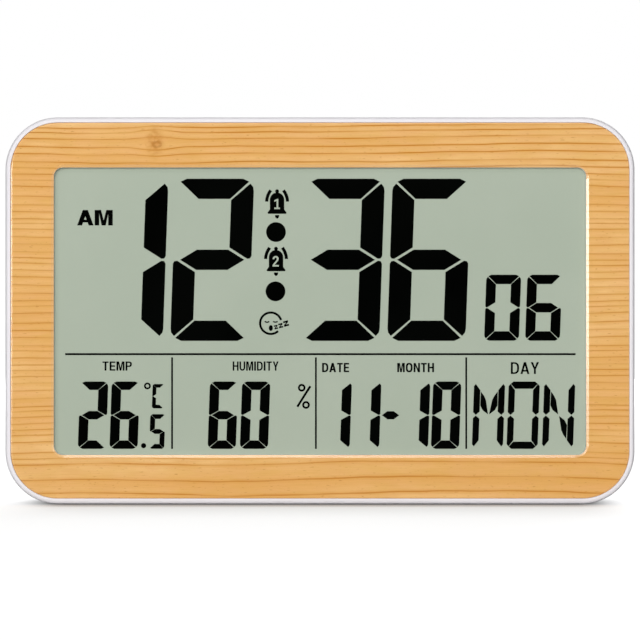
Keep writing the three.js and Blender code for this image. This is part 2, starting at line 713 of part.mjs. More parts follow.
function cell() {
  const r = CELL_RADIUS;
  const shoulder = CELL_LENGTH - CELL_NUB_RISE;
  const foot = quarter(SMALL_ROUND_STEPS).map((a) => [
    r - CELL_EDGE_ROUND * (1 - Math.sin(a)),
    CELL_EDGE_ROUND * (1 - Math.cos(a)),
  ]);
  const crown = foot.map(([x, y]) => [x, shoulder - y]).reverse();
  const nub = [[CELL_NUB_RADIUS, shoulder], [CELL_NUB_RADIUS, CELL_LENGTH], [0, CELL_LENGTH]];
  return solid(revolve([[0, 0], ...foot, ...crown, ...nub]));
}

class TaperedCoil extends THREE.Curve {
  getPoint(share, target = new THREE.Vector3()) {
    const angle = share * SPRING_TURNS * 2 * Math.PI;
    const radius = THREE.MathUtils.lerp(SPRING_BASE_RADIUS, SPRING_TIP_RADIUS, share);
    const along = share * (SPRING_LENGTH - SPRING_WIRE_RADIUS);
    return target.set(along, radius * Math.cos(angle), radius * Math.sin(angle));
  }
}

// The coil starts in the face of its contact at X 0 and runs towards the cell along +X
function coilSpring() {
  const path = new TaperedCoil();
  const steps = SPRING_TURNS * SPRING_STEPS_PER_TURN;
  const points = path.getPoints(steps);
  let least = Infinity;
  points.forEach((point, i) => {
    const far = points.slice(i + SPRING_STEPS_PER_TURN / 2);
    far.forEach((other) => {
      least = Math.min(least, point.distanceTo(other) - 2 * SPRING_WIRE_RADIUS);
    });
  });
  console.log(`coil spring: least gap to itself ${least.toFixed(2)} mm`);
  return tube(SPRING_WIRE_RADIUS, SPRING_SIDES, path, steps);
}

// Contacts are modelled against a wall at X 0, with the cell's side towards +X
function contactPlate(heights) {
  const half = CONTACT_WIDTH / 2;
  return box([SEAT, contactStack], [-half, half], heights);
}

function contactBump(z) {
  return crossRod(CONTACT_BUMP_RADIUS, SEAT, contactStack + CONTACT_BUMP_RISE, 0, z);
}

function contactTag() {
  const front = -CONTACT_WIDTH / 2;
  const half = TAG_WIDTH / 2;
  return box([-TUB_WALL - TAG_REACH, contactStack], [front, front + CONTACT_THICK], [-half, half]);
}

const ownHeights = [-CONTACT_WIDTH / 2, CONTACT_WIDTH / 2];
const seatedSpring = coilSpring().translate([contactStack, 0, 0]);

function positiveContact() {
  return join([contactPlate(ownHeights), contactBump(0), contactTag()]);
}

function negativeContact() {
  return join([contactPlate(ownHeights), seatedSpring, contactTag()]);
}

// Modelled the same way, then turned end for end: its spring meets the upper cell
function linkContact() {
  const heights = [-CONTACT_WIDTH / 2, cellPitch + CONTACT_WIDTH / 2];
  return join([contactPlate(heights), seatedSpring, contactBump(cellPitch)]);
}

// Rear cover

const legOutline = (grow) => {
  const wide = legHalf + grow;
  const narrow = footHalf + grow;
  const foot = -legLength - grow;
  const round = LEG_FOOT_ROUND + grow;
  const shape = new THREE.Shape();
  shape.moveTo(wide, LEG_HEEL);
  shape.lineTo(-wide, LEG_HEEL);
  shape.lineTo(-narrow, foot + round);
  shape.quadraticCurveTo(-narrow, foot, -narrow + round, foot);
  shape.lineTo(narrow - round, foot);
  shape.quadraticCurveTo(narrow, foot, narrow, foot + round);
  return shape;
};

function coverShell() {
  const backRound = roundedBack(DEPTH, BACK_ROUND, ROUND_STEPS);
  const outside = loft(...caseOutline(0), [[rearCoverFront, 0], ...backRound]);
  const inside = caseBand(SIDE_WALL, rearCoverFront - OVERCUT, backInner);
  const tongueInset = SIDE_WALL + PLAY;
  const tongueFront = rearCoverFront - TONGUE_REACH;
  const rootBack = rearCoverFront + TONGUE_REACH;
  const tongue = caseBand(tongueInset, tongueFront, rearCoverFront);
  const root = caseBand(SIDE_WALL / 2, rearCoverFront, rootBack);
  const bore = caseBand(tongueInset + TONGUE_THICK, tongueFront - OVERCUT, rootBack + OVERCUT);
  return join([cut(outside, [inside]), cut(join([tongue, root]), [bore])]);
}

// Each feature of the cover gives what it adds inside and what it cuts away
const intoBackWall = backInner + OVERCUT;
const pastBack = DEPTH + OVERCUT;

function screwPillars() {
  const hole = CASE_SCREW.radius + SCREW_HOLE_PLAY;
  const added = caseScrews.map(([x, z]) => rod(PILLAR_RADIUS, pillarFront, intoBackWall, x, z));
  const cuts = caseScrews.flatMap(([x, z]) => [
    rod(COUNTERBORE_RADIUS, caseScrewSeat - SEAT, pastBack, x, z),
    rod(hole, pillarFront - OVERCUT, caseScrewSeat + OVERCUT, x, z, SMALL_ROD_SIDES),
  ]);
  return { added, cuts };
}

function standTray() {
  const half = legHalf + PLAY;
  const trayAt = (grow, front, back) => plate(legOutline(grow), front, back).translate([0, 0, HINGE_Z]);
  const sides = (wall) => [-half - wall, half + wall];
  const scoopAt = (wall, front, back) => rod(LEG_NOTCH_RADIUS - PLAY + wall, front, back, 0, LEG_FOOT_Z);
  const scoopFloor = DEPTH - SCOOP_DEPTH;
  const scoopHeights = [LEG_FOOT_Z - PLAY, LEG_FOOT_Z + 2 * LEG_NOTCH_RADIUS];
  const scoopSides = [-2 * LEG_NOTCH_RADIUS, 2 * LEG_NOTCH_RADIUS];
  const scoopBand = box(scoopSides, [scoopFloor, pastBack], scoopHeights);
  const scoopShell = box(scoopSides, [scoopFloor - TRAY_WALL, pastBack], [SIDE_WALL, scoopHeights[1]]);
  const added = [
    trayAt(PLAY + TRAY_WALL, trayFloor - TRAY_WALL, intoBackWall),
    box(
      sides(SOCKET_WALL),
      [troughFloor - TRAY_WALL, intoBackWall],
      [troughBottom - TRAY_WALL, troughTop + TRAY_WALL],
    ),
    scoopAt(TRAY_WALL, scoopFloor - TRAY_WALL, intoBackWall).intersect(scoopShell),
  ];
  const cuts = [
    trayAt(PLAY, trayFloor, pastBack),
    box(sides(0), [troughFloor, pastBack], [troughBottom, troughTop]),
    crossRod(PIN_RADIUS + PLAY, -pinEnd - PLAY, pinEnd + PLAY, hingeDepth, HINGE_Z),
    scoopAt(0, scoopFloor, pastBack).intersect(scoopBand),
  ];
  return { added, cuts };
}

function batteryTub() {
  const sides = [tubLeft, tubRight];
  const heights = [tubBottom, tubTop];
  const inside = tubFront + TUB_WALL;
  const doorSides = [doorLeft - PLAY, doorRight + PLAY];
  const doorHeights = [doorBottom - PLAY, doorTop + PLAY];
  const ledgeFront = backInner - DOOR_LEDGE_THICK;
  const latchHalf = LATCH_WIDTH / 2 + PLAY;
  const latchSides = [tubX - latchHalf, tubX + latchHalf];
  const wellFront = latchFront - PLAY;
  const wellBottom = doorBottom - THUMB_GAP;
  const outward = (range, wall) => [range[0] - wall, range[1] + wall];
  const tagHalf = TAG_WIDTH / 2 + PLAY;
  const added = [
    box(outward(sides, TUB_WALL), [tubFront, intoBackWall], outward(heights, TUB_WALL)),
    box(outward(doorSides, TUB_WALL), [ledgeFront, intoBackWall], outward(doorHeights, TUB_WALL)),
    box(
      outward(latchSides, TUB_WALL),
      [wellFront - TUB_WALL, intoBackWall],
      [wellBottom - TUB_WALL, tubBottom],
    ),
  ];
  const cuts = [
    box(sides, [inside, pastBack], heights),
    plate(roundedOutline(doorSides, doorHeights, DOOR_RADIUS), doorBack - SEAT, pastBack),
    box(latchSides, [wellFront, pastBack], [wellBottom, tubBottom + OVERCUT]),
    ...tabPlaces.map((x) => {
      const half = DOOR_TAB_WIDTH / 2 + PLAY;
      const front = doorOuter - tabSweep - PLAY;
      const slotTop = doorTop + tabSweep + PLAY;
      return box([x - half, x + half], [front, doorBack], [tubTop - OVERCUT, slotTop]);
    }),
    ...[upperCellZ, lowerCellZ].map((z) =>
      box(
        [tubLeft - TUB_WALL - OVERCUT, tubLeft + OVERCUT],
        [tagDepth - PLAY, tagDepth + CONTACT_THICK + PLAY],
        [z - tagHalf, z + tagHalf],
      ),
    ),
  ];
  return { added, cuts };
}

function keyBay() {
  const outline = (wall) =>
    roundedOutline(
      [keyBankX - keyBayWidth / 2 - wall, keyBankX + keyBayWidth / 2 + wall],
      [KEY_BANK_Z - keyBayHeight / 2 - wall, KEY_BANK_Z + keyBayHeight / 2 + wall],
      KEY_BAY_RADIUS + wall,
    );
  const added = [plate(outline(BACK_WALL), keyPadInner, intoBackWall)];
  const holes = keyPlaces.map(({ x, z }) => {
    const hole = plate(roundedOutline(...keyOutline(PLAY)), keyPadInner - OVERCUT, pastBack);
    return hole.translate([x, 0, z]);
  });
  return { added, cuts: [plate(outline(0), keyBayFloor, pastBack), ...holes] };
}

function wallKeyhole() {
  const pocketFront = backInner - KEYHOLE_POCKET;
  const track = (radius, wall) => {
    const reach = radius + wall;
    return roundedOutline([-reach, reach], [keyholeEntryZ - reach, keyholeSlotZ + reach], reach - SEAT);
  };
  const added = [plate(track(KEYHOLE_ENTRY_RADIUS, KEYHOLE_WALL), pocketFront - KEYHOLE_WALL, intoBackWall)];
  const cuts = [
    plate(track(KEYHOLE_ENTRY_RADIUS, 0), pocketFront, backInner),
    plate(track(KEYHOLE_SLOT_RADIUS, 0), pocketFront, pastBack),
    rod(KEYHOLE_ENTRY_RADIUS, pocketFront, pastBack, 0, keyholeEntryZ),
  ];
  return { added, cuts };
}

function soundAndVents() {
  const seatRing = rod(BUZZER_RADIUS, backInner - BUZZER_RING_HEIGHT, intoBackWall, buzzerX, buzzerZ);
  const seatBore = rod(BUZZER_RADIUS - BUZZER_RING_WIDTH, 0, intoBackWall, buzzerX, buzzerZ);
  const soundHole = (x, z) => rod(SOUND_HOLE_RADIUS, backInner - OVERCUT, pastBack, x, z, SMALL_ROD_SIDES);
  const circle = Array.from({ length: SOUND_HOLE_COUNT }, (_, step) => {
    const angle = (step / SOUND_HOLE_COUNT) * 2 * Math.PI;
    return soundHole(
      buzzerX + SOUND_HOLE_CIRCLE * Math.cos(angle),
      buzzerZ + SOUND_HOLE_CIRCLE * Math.sin(angle),
    );
  });
  const vents = Array.from({ length: VENT_COUNT }, (_, step) => {
    const x = ventX + (step - (VENT_COUNT - 1) / 2) * VENT_PITCH;
    const sides = [x - VENT_WIDTH / 2, x + VENT_WIDTH / 2];
    const heights = [ventZ - VENT_HEIGHT / 2, ventZ + VENT_HEIGHT / 2];
    return plate(roundedOutline(sides, heights, VENT_WIDTH / 2 - SEAT), backInner - OVERCUT, pastBack);
  });
  return { added: [cut(seatRing, [seatBore])], cuts: [soundHole(buzzerX, buzzerZ), ...circle, ...vents] };
}

function rearCover() {
  const features = [screwPillars(), standTray(), batteryTub(), keyBay(), wallKeyhole(), soundAndVents()];
  const moulded = join([coverShell(), ...features.flatMap(({ added }) => added)]);
  return cut(moulded, features.flatMap(({ cuts }) => cuts));
}

// Stand leg, modelled about its hinge axis: a tapered plate with a heel that stops against the trough

function standLeg() {
  const inner = legInner - hingeDepth;
  const outer = legOuter - hingeDepth;
  const notch = rod(LEG_NOTCH_RADIUS, inner - OVERCUT, outer + OVERCUT, 0, -legLength);
  return join([
    cut(plate(legOutline(0), inner, outer), [notch]),
    crossRod(BARREL_RADIUS, -legHalf, legHalf, 0, 0),
    crossRod(PIN_RADIUS, -pinEnd, pinEnd, 0, 0),
  ]);
}

// Battery door, modelled about its swing axis, which is its outer top edge

function batteryDoor() {
  const sides = [doorLeft - tubX, doorRight - tubX];
  const heights = [doorBottom - doorTop, 0];
  const outer = 0;
  const inner = -DOOR_THICK;
  const halfLatch = LATCH_WIDTH / 2;
  const slotTop = heights[0] + LATCH_THICK + LATCH_SLOT;
  const latchSlot = box(
    [-halfLatch - PLAY, halfLatch + PLAY],
    [inner - OVERCUT, outer + OVERCUT],
    [heights[0] - OVERCUT, slotTop],
  );
  const lid = cut(plate(roundedOutline(sides, heights, DOOR_RADIUS), inner, outer), [latchSlot]);
  const tabs = tabPlaces.flatMap((x) => {
    const across = [x - tubX - DOOR_TAB_WIDTH / 2, x - tubX + DOOR_TAB_WIDTH / 2];
    const depths = [tabFront - doorOuter, tabBack - doorOuter];
    return [
      box(across, depths, [-DOOR_LEDGE, DOOR_TAB_REACH]),
      box(across, [depths[0], inner + DOOR_THICK / 2], [-DOOR_LEDGE, -PLAY]),
    ];
  });
  const bendDepth = -LATCH_ARM;
  const bendZ = heights[0] + LATCH_BEND_RADIUS;
  const innerRadius = LATCH_BEND_RADIUS - LATCH_THICK;
  const profile = new THREE.Shape();
  profile.moveTo(outer, bendZ - LATCH_BEND_RADIUS);
  profile.lineTo(outer, bendZ - innerRadius);
  profile.lineTo(bendDepth, bendZ - innerRadius);
  profile.absarc(bendDepth, bendZ, innerRadius, 1.5 * Math.PI, 0.5 * Math.PI, true);
  profile.lineTo(inner + DOOR_THICK / 2, bendZ + innerRadius);
  profile.lineTo(inner + DOOR_THICK / 2, bendZ + LATCH_BEND_RADIUS);
  profile.lineTo(bendDepth, bendZ + LATCH_BEND_RADIUS);
  profile.absarc(bendDepth, bendZ, LATCH_BEND_RADIUS, 0.5 * Math.PI, 1.5 * Math.PI, false);
  return join([lid, ...tabs, bar(profile, -halfLatch, halfLatch)]);
}

// Buzzer: a thin metal plate with a smaller ceramic disc bonded to its inner face

function buzzerDisc() {
  const ceramicFront = -BUZZER_PLATE_THICK - BUZZER_DISC_THICK;
  return solid(
    revolve([
      [0, ceramicFront],
      [BUZZER_DISC_RADIUS, ceramicFront],
      [BUZZER_DISC_RADIUS, -BUZZER_PLATE_THICK],
      [BUZZER_RADIUS, -BUZZER_PLATE_THICK],
      [BUZZER_RADIUS, 0],
      [0, 0],
    ]),
  );
}

// Wires lie inside the case along points chosen for each

function wire(points) {
  const places = points.map((point) => new THREE.Vector3(...point));
  const path = new THREE.CatmullRomCurve3(places, false, 'centripetal');
  return tube(WIRE_RADIUS, WIRE_SIDES, path, WIRE_STEPS_PER_POINT * (points.length - 1));
}

const wireOnBoard = boardBack + PLAY;
const wireRun = tagDepth + CONTACT_THICK / 2;

function batteryWire(z, padZ) {
  const padX = boardRight - BATTERY_PAD_FROM_RIGHT;
  return wire([
    [tagEnd - PLAY, wireRun, z],
    [tagEnd - 6, wireRun, z],
    [padX + 5, wireRun - 0.5, padZ],
    [padX, wireRun - 2, padZ],
    [padX, wireOnBoard, padZ],
  ]);
}

function buzzerWire(side) {
  const fromX = buzzerX + (side * BUZZER_WIRE_SPACING) / 2;
  const padX = keyBankX + keyBayWidth / 2 + BUZZER_PAD_FROM_BAY + (side * BUZZER_WIRE_SPACING) / 2;
  const padZ = boardTop - BUZZER_PAD_FROM_TOP;
  const front = buzzerBack - BUZZER_PLATE_THICK - BUZZER_DISC_THICK - PLAY;
  return wire([
    [fromX, front, buzzerZ],
    [fromX, front - 3, buzzerZ],
    [padX, front - 5, (buzzerZ + padZ) / 2],
    [padX, wireOnBoard + 4, padZ],
    [padX, wireOnBoard, padZ],
  ]);
}

// Assembly

const clock = new THREE.Group();

function piece(name, shape, finish, place = [0, 0, 0]) {
  const mesh = new THREE.Mesh(geometryOf(shape), new THREE.MeshStandardMaterial(finish));
  mesh.name = name;
  mesh.position.set(...place);
  clock.add(mesh);
  return mesh;
}

piece('front_shell', frontShell(), whitePlastic);
piece('wood_panel', woodPanel(), woodGrain);
piece('lcd_front_polariser', displayFilm(polariserFront), displayFace);
piece('lcd_front_glass', displayGlass(frontGlassFront, glassBottom), clearGlass);
piece('lcd_rear_glass', displayGlass(rearGlassFront, rearGlassBottom), clearGlass);
piece('lcd_reflector', displayFilm(reflectorFront), silverFilm);
piece('lcd_clamp_frame', clampFrame(), greyPlastic);
piece('contact_strip', contactStrip(), blackRubber);

piece('circuit_board', circuitBoard(), greenBoard);
const onBoard = boardBack + SEAT;
const chipX = boardRight - CHIP_FROM_RIGHT;
const chipZ = boardBottom + CHIP_FROM_BOTTOM;
const crystalZ = chipZ - CHIP_RADIUS - CRYSTAL_FROM_CHIP - CRYSTAL_RADIUS;
const capacitorX = chipX - CHIP_RADIUS - CAPACITOR_FROM_CHIP - CAPACITOR_RADIUS;
piece('chip_cover', chipCover(), blackPlastic, [chipX, onBoard, chipZ]);
piece('timing_crystal', timingCrystal(), steel, [chipX, onBoard, crystalZ]);
piece('smoothing_capacitor', smoothingCapacitor(), bluePlastic, [capacitorX, onBoard, chipZ]);
piece('humidity_sensor', humiditySensor(), bluePlastic, [ventX, onBoard, ventZ]);
const thermistorX = ventX + HUMIDITY_SENSOR.width / 2 + SENSOR_GAP;
piece('temperature_sensor', temperatureSensor(), blackPlastic, [thermistorX, onBoard, ventZ]);

for (const { name, x, z } of keyPlaces) {
  piece(`${name}_switch`, switchBody(), blackPlastic, [x, switchBase, z]);
  piece(`${name}_plunger`, switchPlunger(), blackPlastic, [x, switchBase, z]);
  piece(`${name}_key`, keycap(), keyPlastic, [x, 0, z]);
}

piece('rear_cover', rearCover(), whitePlastic);
piece('stand_leg', standLeg(), whitePlastic, [0, hingeDepth, HINGE_Z]);
piece('battery_door', batteryDoor(), whitePlastic, [tubX, doorOuter, doorTop]);

const upperFoot = tubLeft + bumpEnd + CELL_LENGTH;
const upperCell = piece('battery_upper', cell(), cellJacket, [upperFoot, cellDepth, upperCellZ]);
upperCell.rotation.z = Math.PI / 2;
const lowerFoot = tubLeft + springEnd;
const lowerCell = piece('battery_lower', cell(), cellJacket, [lowerFoot, cellDepth, lowerCellZ]);
lowerCell.rotation.z = -Math.PI / 2;
piece('battery_positive_contact', positiveContact(), steel, [tubLeft, cellDepth, upperCellZ]);
piece('battery_negative_contact', negativeContact(), steel, [tubLeft, cellDepth, lowerCellZ]);
const link = piece('battery_link_contact', linkContact(), steel, [tubRight, cellDepth, upperCellZ]);
link.rotation.y = Math.PI;

piece('battery_wire_red', batteryWire(upperCellZ, upperCellZ + BATTERY_PAD_SHIFT), redWire);
piece('battery_wire_black', batteryWire(lowerCellZ, lowerCellZ - BATTERY_PAD_SHIFT), blackWire);
piece('buzzer_disc', buzzerDisc(), brass, [buzzerX, buzzerBack, buzzerZ]);
piece('buzzer_wire_red', buzzerWire(1), redWire);
piece('buzzer_wire_black', buzzerWire(-1), blackWire);

function screws(name, size, places, seat) {
  places.forEach(([x, z], index) => piece(`${name}_${index + 1}`, screw(size), steel, [x, seat, z]));
}

screws('case_screw', CASE_SCREW, caseScrews, caseScrewSeat);
screws('clamp_screw', SMALL_SCREW, clampScrews, clampBack + SEAT);
screws('board_screw', SMALL_SCREW, boardScrews, boardBack + SEAT);

// The clock stands on Z 0, centred across and through its depth
clock.position.set(0, -DEPTH / 2, 0);

export default clock;
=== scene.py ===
"""Looks of the wood-faced digital clock: a white moulded case, a wood panel round a grey-green display,
and a back with a stand, a battery door, a keyhole and six keys. Sizes are in millimetres, apart from
those of the studio, which are in metres."""

import math

import bmesh
import bpy
from mathutils import Matrix, Vector


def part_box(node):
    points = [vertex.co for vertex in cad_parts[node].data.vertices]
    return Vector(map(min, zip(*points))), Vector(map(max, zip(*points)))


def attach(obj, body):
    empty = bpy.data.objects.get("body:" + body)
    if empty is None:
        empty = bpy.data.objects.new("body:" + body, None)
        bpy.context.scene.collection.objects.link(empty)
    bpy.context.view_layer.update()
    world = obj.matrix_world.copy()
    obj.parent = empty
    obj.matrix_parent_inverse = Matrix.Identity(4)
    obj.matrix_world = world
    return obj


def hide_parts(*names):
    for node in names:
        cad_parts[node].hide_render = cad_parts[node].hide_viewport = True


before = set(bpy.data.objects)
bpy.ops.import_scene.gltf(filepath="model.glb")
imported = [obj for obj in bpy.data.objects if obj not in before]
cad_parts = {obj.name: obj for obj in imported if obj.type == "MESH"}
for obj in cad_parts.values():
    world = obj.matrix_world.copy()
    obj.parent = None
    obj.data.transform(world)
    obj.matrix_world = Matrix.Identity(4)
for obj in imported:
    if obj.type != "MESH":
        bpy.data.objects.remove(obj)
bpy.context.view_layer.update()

MM = 0.001
QUARTER_TURN = math.pi / 2

# What tells faces, edges and points apart: angles, a part of a normal, distances
FLAT = math.radians(0.3)
SHARP = math.radians(40)
CREASE_DEGREES = 35
SQUARE_ON = 0.99
DOUBLE = 0.002
INK_DOUBLE = 0.0005

# Case, panel and window
CASE_CORNERS = [(x, z) for x in (-90, 90) for z in (18, 114.7)]
CASE_MIDDLE_Z = 66.35
CASE_RADIUS = 18.0
CASE_RIM = 4.5
CASE_CORNER_STEP = QUARTER_TURN / 8
# The rings of the rim's round, as depth and reach past the middles of the corners,
# and where the shoulder has them
RIM_SHOULDER = {
    (-12.80, 17.25): (-12.90, 17.10),
    (-12.25, 17.80): (-12.50, 17.58),
    (-11.50, 18.00): (-11.20, 18.00),
}
PANEL_SIDES = (-106.05, 106.05)
PANEL_HEIGHTS = (1.95, 130.75)
PANEL_RADIUS = 16.05
PANEL_FRONT = -12.9
PANEL_BACK = -11.7
PANEL_EDGE_STEPS = ((0.2, 0.25), (0.32, 0.075))
WINDOW_SIDES = (-91.3, 91.3)
WINDOW_HEIGHTS = (16.8, 115.4)
WINDOW_RADIUS = 3.0
WINDOW_SLOPE_WIDTH = 0.9
WINDOW_SLOPE_DEPTH = 0.36
CORNER_STEPS = 20
SMALL_CORNER_STEPS = 8

# Display
DISPLAY_FACE = -10.5
INK = 0.03
SLANT = 0.035
BLEED = 0.07

# Back
BAY_FLOOR = 11.8
DOOR_FACE = 12.9
STAND_FACE = 12.8
LEGEND_RISE = 4.6
LEGEND_HEIGHT = 1.9
LEGEND_LETTER_WIDTH = 1.44
LEGEND_WEIGHT = 0.015
KEYS = {
    "mode": (-52, 75, "MODE"),
    "up": (-72, 75, "UP"),
    "alarm": (-52, 60, "ALARM"),
    "down": (-72, 60, "DOWN"),
    "unit": (-52, 45, "°C/°F"),
    "snooze": (-72, 45, "SNOOZE"),
}

# Battery compartment
CELL_DEPTH = 5.55
CELL_RADIUS = 5.25
CELL_BODY_LENGTH = 43.7
UPPER_CELL_Z = 67.4
LOWER_CELL_Z = 56.6
TUB_LEFT = 36.5
TUB_RIGHT = 87.5
CONTACT_HALF = 4.2
CONTACT_SHEET = 0.4
CONTACT_GAP = 0.1
TAG_DEPTH = 1.55


# Hand tools: choosing, shaping, cutting and smoothing

def named(piece, name):
    piece.name = name
    piece.data.name = name
    return piece


def added(name, data):
    """A new object in the scene."""
    piece = bpy.data.objects.new(name, data)
    bpy.context.scene.collection.objects.link(piece)
    return piece


def in_metres(*lengths):
    return [length * MM for length in lengths]


def none_chosen():
    bpy.ops.object.select_all(action="DESELECT")


def alone(piece):
    """Leaves one piece chosen."""
    none_chosen()
    piece.select_set(True)
    bpy.context.view_layer.objects.active = piece


def fresh(name):
    """Names the piece that was just added and settles its place into its mesh."""
    piece = named(bpy.context.object, name)
    bpy.ops.object.transform_apply(location=True, rotation=True, scale=True)
    return piece


def as_mesh(piece):
    """Turns a drawn line or written words into mesh."""
    alone(piece)
    bpy.ops.object.convert(target="MESH")
    return bpy.context.object


def edit(piece):
    alone(piece)
    bpy.ops.object.mode_set(mode="EDIT")


def done():
    bpy.ops.object.mode_set(mode="OBJECT")


def middle(item):
    if isinstance(item, bmesh.types.BMVert):
        return item.co
    if isinstance(item, bmesh.types.BMEdge):
        return (item.verts[0].co + item.verts[1].co) / 2
    return item.calc_center_median()


def choose(piece, kind, wanted):
    """In edit mode, selects the vertices, edges or faces that pass a test.

    The test is given an item's middle, in millimetres, and the item."""
    bpy.ops.mesh.select_mode(type=kind)
    bpy.ops.mesh.select_all(action="DESELECT")
    mesh = bmesh.from_edit_mesh(piece.data)
    items = {"VERT": mesh.verts, "EDGE": mesh.edges, "FACE": mesh.faces}[kind]
    for item in items:
        if wanted(middle(item) / MM, item):
            item.select_set(True)
    mesh.select_flush_mode()
    bmesh.update_edit_mesh(piece.data)


def choose_all():
    bpy.ops.mesh.select_all(action="SELECT")


def bevel(width, steps, affect="EDGES"):
    bpy.ops.mesh.bevel(offset=width * MM, segments=steps, affect=affect)


def inset(thick, deep=0):
    bpy.ops.mesh.inset(thickness=thick * MM, depth=deep * MM)


def draw_out(x, y, z):
    """Extrudes what is chosen."""
    bpy.ops.mesh.extrude_region_move(TRANSFORM_OT_translate={"value": in_metres(x, y, z)})


def is_sharp(edge):
    return len(edge.link_faces) == 2 and edge.calc_face_angle() > SHARP


def round_edges(piece, width, steps, wanted):
    """Rounds the edges that pass a test, which is given an edge's middle and the edge."""
    edit(piece)
    choose(piece, "EDGE", wanted)
    bevel(width, steps)
    done()


def soften(piece, width, steps, wanted=lambda at: True):
    """Rounds the sharp edges, or those of them whose middle passes a test."""
    round_edges(piece, width, steps, lambda at, edge: is_sharp(edge) and wanted(at))


def rounded_slab(name, sides, heights, radius, depths, steps=CORNER_STEPS):
    """A plane stood up, its corners rounded, then drawn through its depth."""
    (left, right), (bottom, top), (front, back) = sides, heights, depths
    none_chosen()
    place = Vector(((left + right) / 2, front, (bottom + top) / 2)) * MM
    bpy.ops.mesh.primitive_plane_add(size=1, location=place, rotation=(QUARTER_TURN, 0, 0))
    bpy.context.object.scale = ((right - left) * MM, (top - bottom) * MM, 1)
    slab = fresh(name)
    edit(slab)
    choose_all()
    if radius:
        bevel(radius, steps, "VERTICES")
        choose_all()
    draw_out(0, back - front, 0)
    choose_all()
    bpy.ops.mesh.normals_make_consistent(inside=False)
    done()
    return slab


def round_bar(name, radius, start, end, sides=32):
    """A cylinder between two points."""
    start, end = Vector(start) * MM, Vector(end) * MM
    along = end - start
    none_chosen()
    bpy.ops.mesh.primitive_cylinder_add(
        vertices=sides,
        radius=radius * MM,
        depth=along.length,
        location=(start + end) / 2,
        rotation=along.to_track_quat("Z", "Y").to_euler(),
    )
    return fresh(name)


def block(name, centre, size):
    none_chosen()
    bpy.ops.mesh.primitive_cube_add(size=1, location=Vector(centre) * MM)
    bpy.context.object.scale = in_metres(*size)
    return fresh(name)


def wire(name, radius):
    """A round wire, still to be led along its line."""
    line = bpy.data.curves.new(name, "CURVE")
    line.dimensions = "3D"
    line.bevel_depth = radius * MM
    line.bevel_resolution = 3
    line.use_fill_caps = True
    return line


def combine(piece, other, operation):
    """Cuts another solid away from a piece or welds it on, and uses the other up."""
    alone(piece)
    step = piece.modifiers.new(operation.lower(), "BOOLEAN")
    step.operation = operation
    step.object = other
    step.solver = "EXACT"
    bpy.ops.object.modifier_apply(modifier=step.name)
    bpy.data.objects.remove(other)


def carve(piece, *cutters):
    for cutter in cutters:
        combine(piece, cutter, "DIFFERENCE")


def weld(piece, *others):
    for other in others:
        combine(piece, other, "UNION")


def join(name, pieces):
    """Puts loose pieces of one kind together."""
    alone(pieces[0])
    for piece in pieces[1:]:
        piece.select_set(True)
    bpy.ops.object.join()
    return named(pieces[0], name)


def smooth(piece, degrees=CREASE_DEGREES):
    """Smooth shading that keeps flat faces flat."""
    alone(piece)
    bpy.ops.object.shade_smooth_by_angle(angle=math.radians(degrees))
    even = piece.modifiers.new("even shading", "WEIGHTED_NORMAL")
    even.keep_sharp = True
    bpy.ops.object.modifier_apply(modifier=even.name)


def copy_of(piece, name, place, turn=0):
    """A copy with its own mesh, set at a place in metres and turned about the depth."""
    alone(piece)
    bpy.ops.object.duplicate()
    bpy.context.object.location = place
    bpy.context.object.rotation_euler = (0, turn, 0)
    return fresh(name)


def round_corners(piece):
    """Splits the straight steps round the case's corners and moves the new points out onto the arc."""
    near, past_outside = 0.01, 0.1

    def on_corner(at):
        for x, z in CASE_CORNERS:
            out = Vector((at.x - x, at.z - z))
            past = out.x * x > -near and out.y * (z - CASE_MIDDLE_Z) > -near
            if past and CASE_RADIUS - CASE_RIM < out.length < CASE_RADIUS + past_outside:
                return x, z, out
        return None

    def along_arc(at, edge):
        ends = [on_corner(vertex.co / MM) for vertex in edge.verts]
        if None in ends or ends[0][:2] != ends[1][:2]:
            return False
        first, second = ends[0][2], ends[1][2]
        is_level = abs(edge.verts[0].co.y - edge.verts[1].co.y) < near * MM
        is_step = abs(first.angle(second) - CASE_CORNER_STEP) < near
        return is_level and is_step and abs(first.length - second.length) < 2 * near

    edit(piece)
    choose_all()
    bpy.ops.mesh.tris_convert_to_quads(face_threshold=FLAT, shape_threshold=math.pi)
    choose(piece, "EDGE", along_arc)
    bpy.ops.mesh.subdivide(number_cuts=3)
    mesh = bmesh.from_edit_mesh(piece.data)
    for vertex in mesh.verts:
        found = on_corner(vertex.co / MM) if vertex.select else None
        if found:
            x, z, out = found
            turn = math.atan2(abs(out.y), abs(out.x)) % CASE_CORNER_STEP - CASE_CORNER_STEP / 2
            out *= math.cos(turn) / math.cos(CASE_CORNER_STEP / 2)
            vertex.co.x, vertex.co.z = (x + out.x) * MM, (z + out.y) * MM
    bmesh.update_edit_mesh(piece.data)
    done()


def moulding(node, name, edge_round, has_case_corners=False):
    """A merged copy of a solid, with its edges broken as a mould breaks them."""
    piece = named(added(name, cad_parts[node].data.copy()), name)
    edit(piece)
    choose_all()
    bpy.ops.mesh.remove_doubles(threshold=DOUBLE * MM)
    done()
    if has_case_corners:
        round_corners(piece)
    edit(piece)
    choose_all()
    bpy.ops.mesh.dissolve_limited(angle_limit=FLAT)
    done()
    broken = piece.modifiers.new("broken edges", "BEVEL")
    broken.width = edge_round * MM
    broken.segments = 2
    broken.limit_method = "ANGLE"
    broken.angle_limit = math.radians(CREASE_DEGREES)
    broken.use_clamp_overlap = False
    bpy.ops.object.modifier_apply(modifier=broken.name)
    return piece


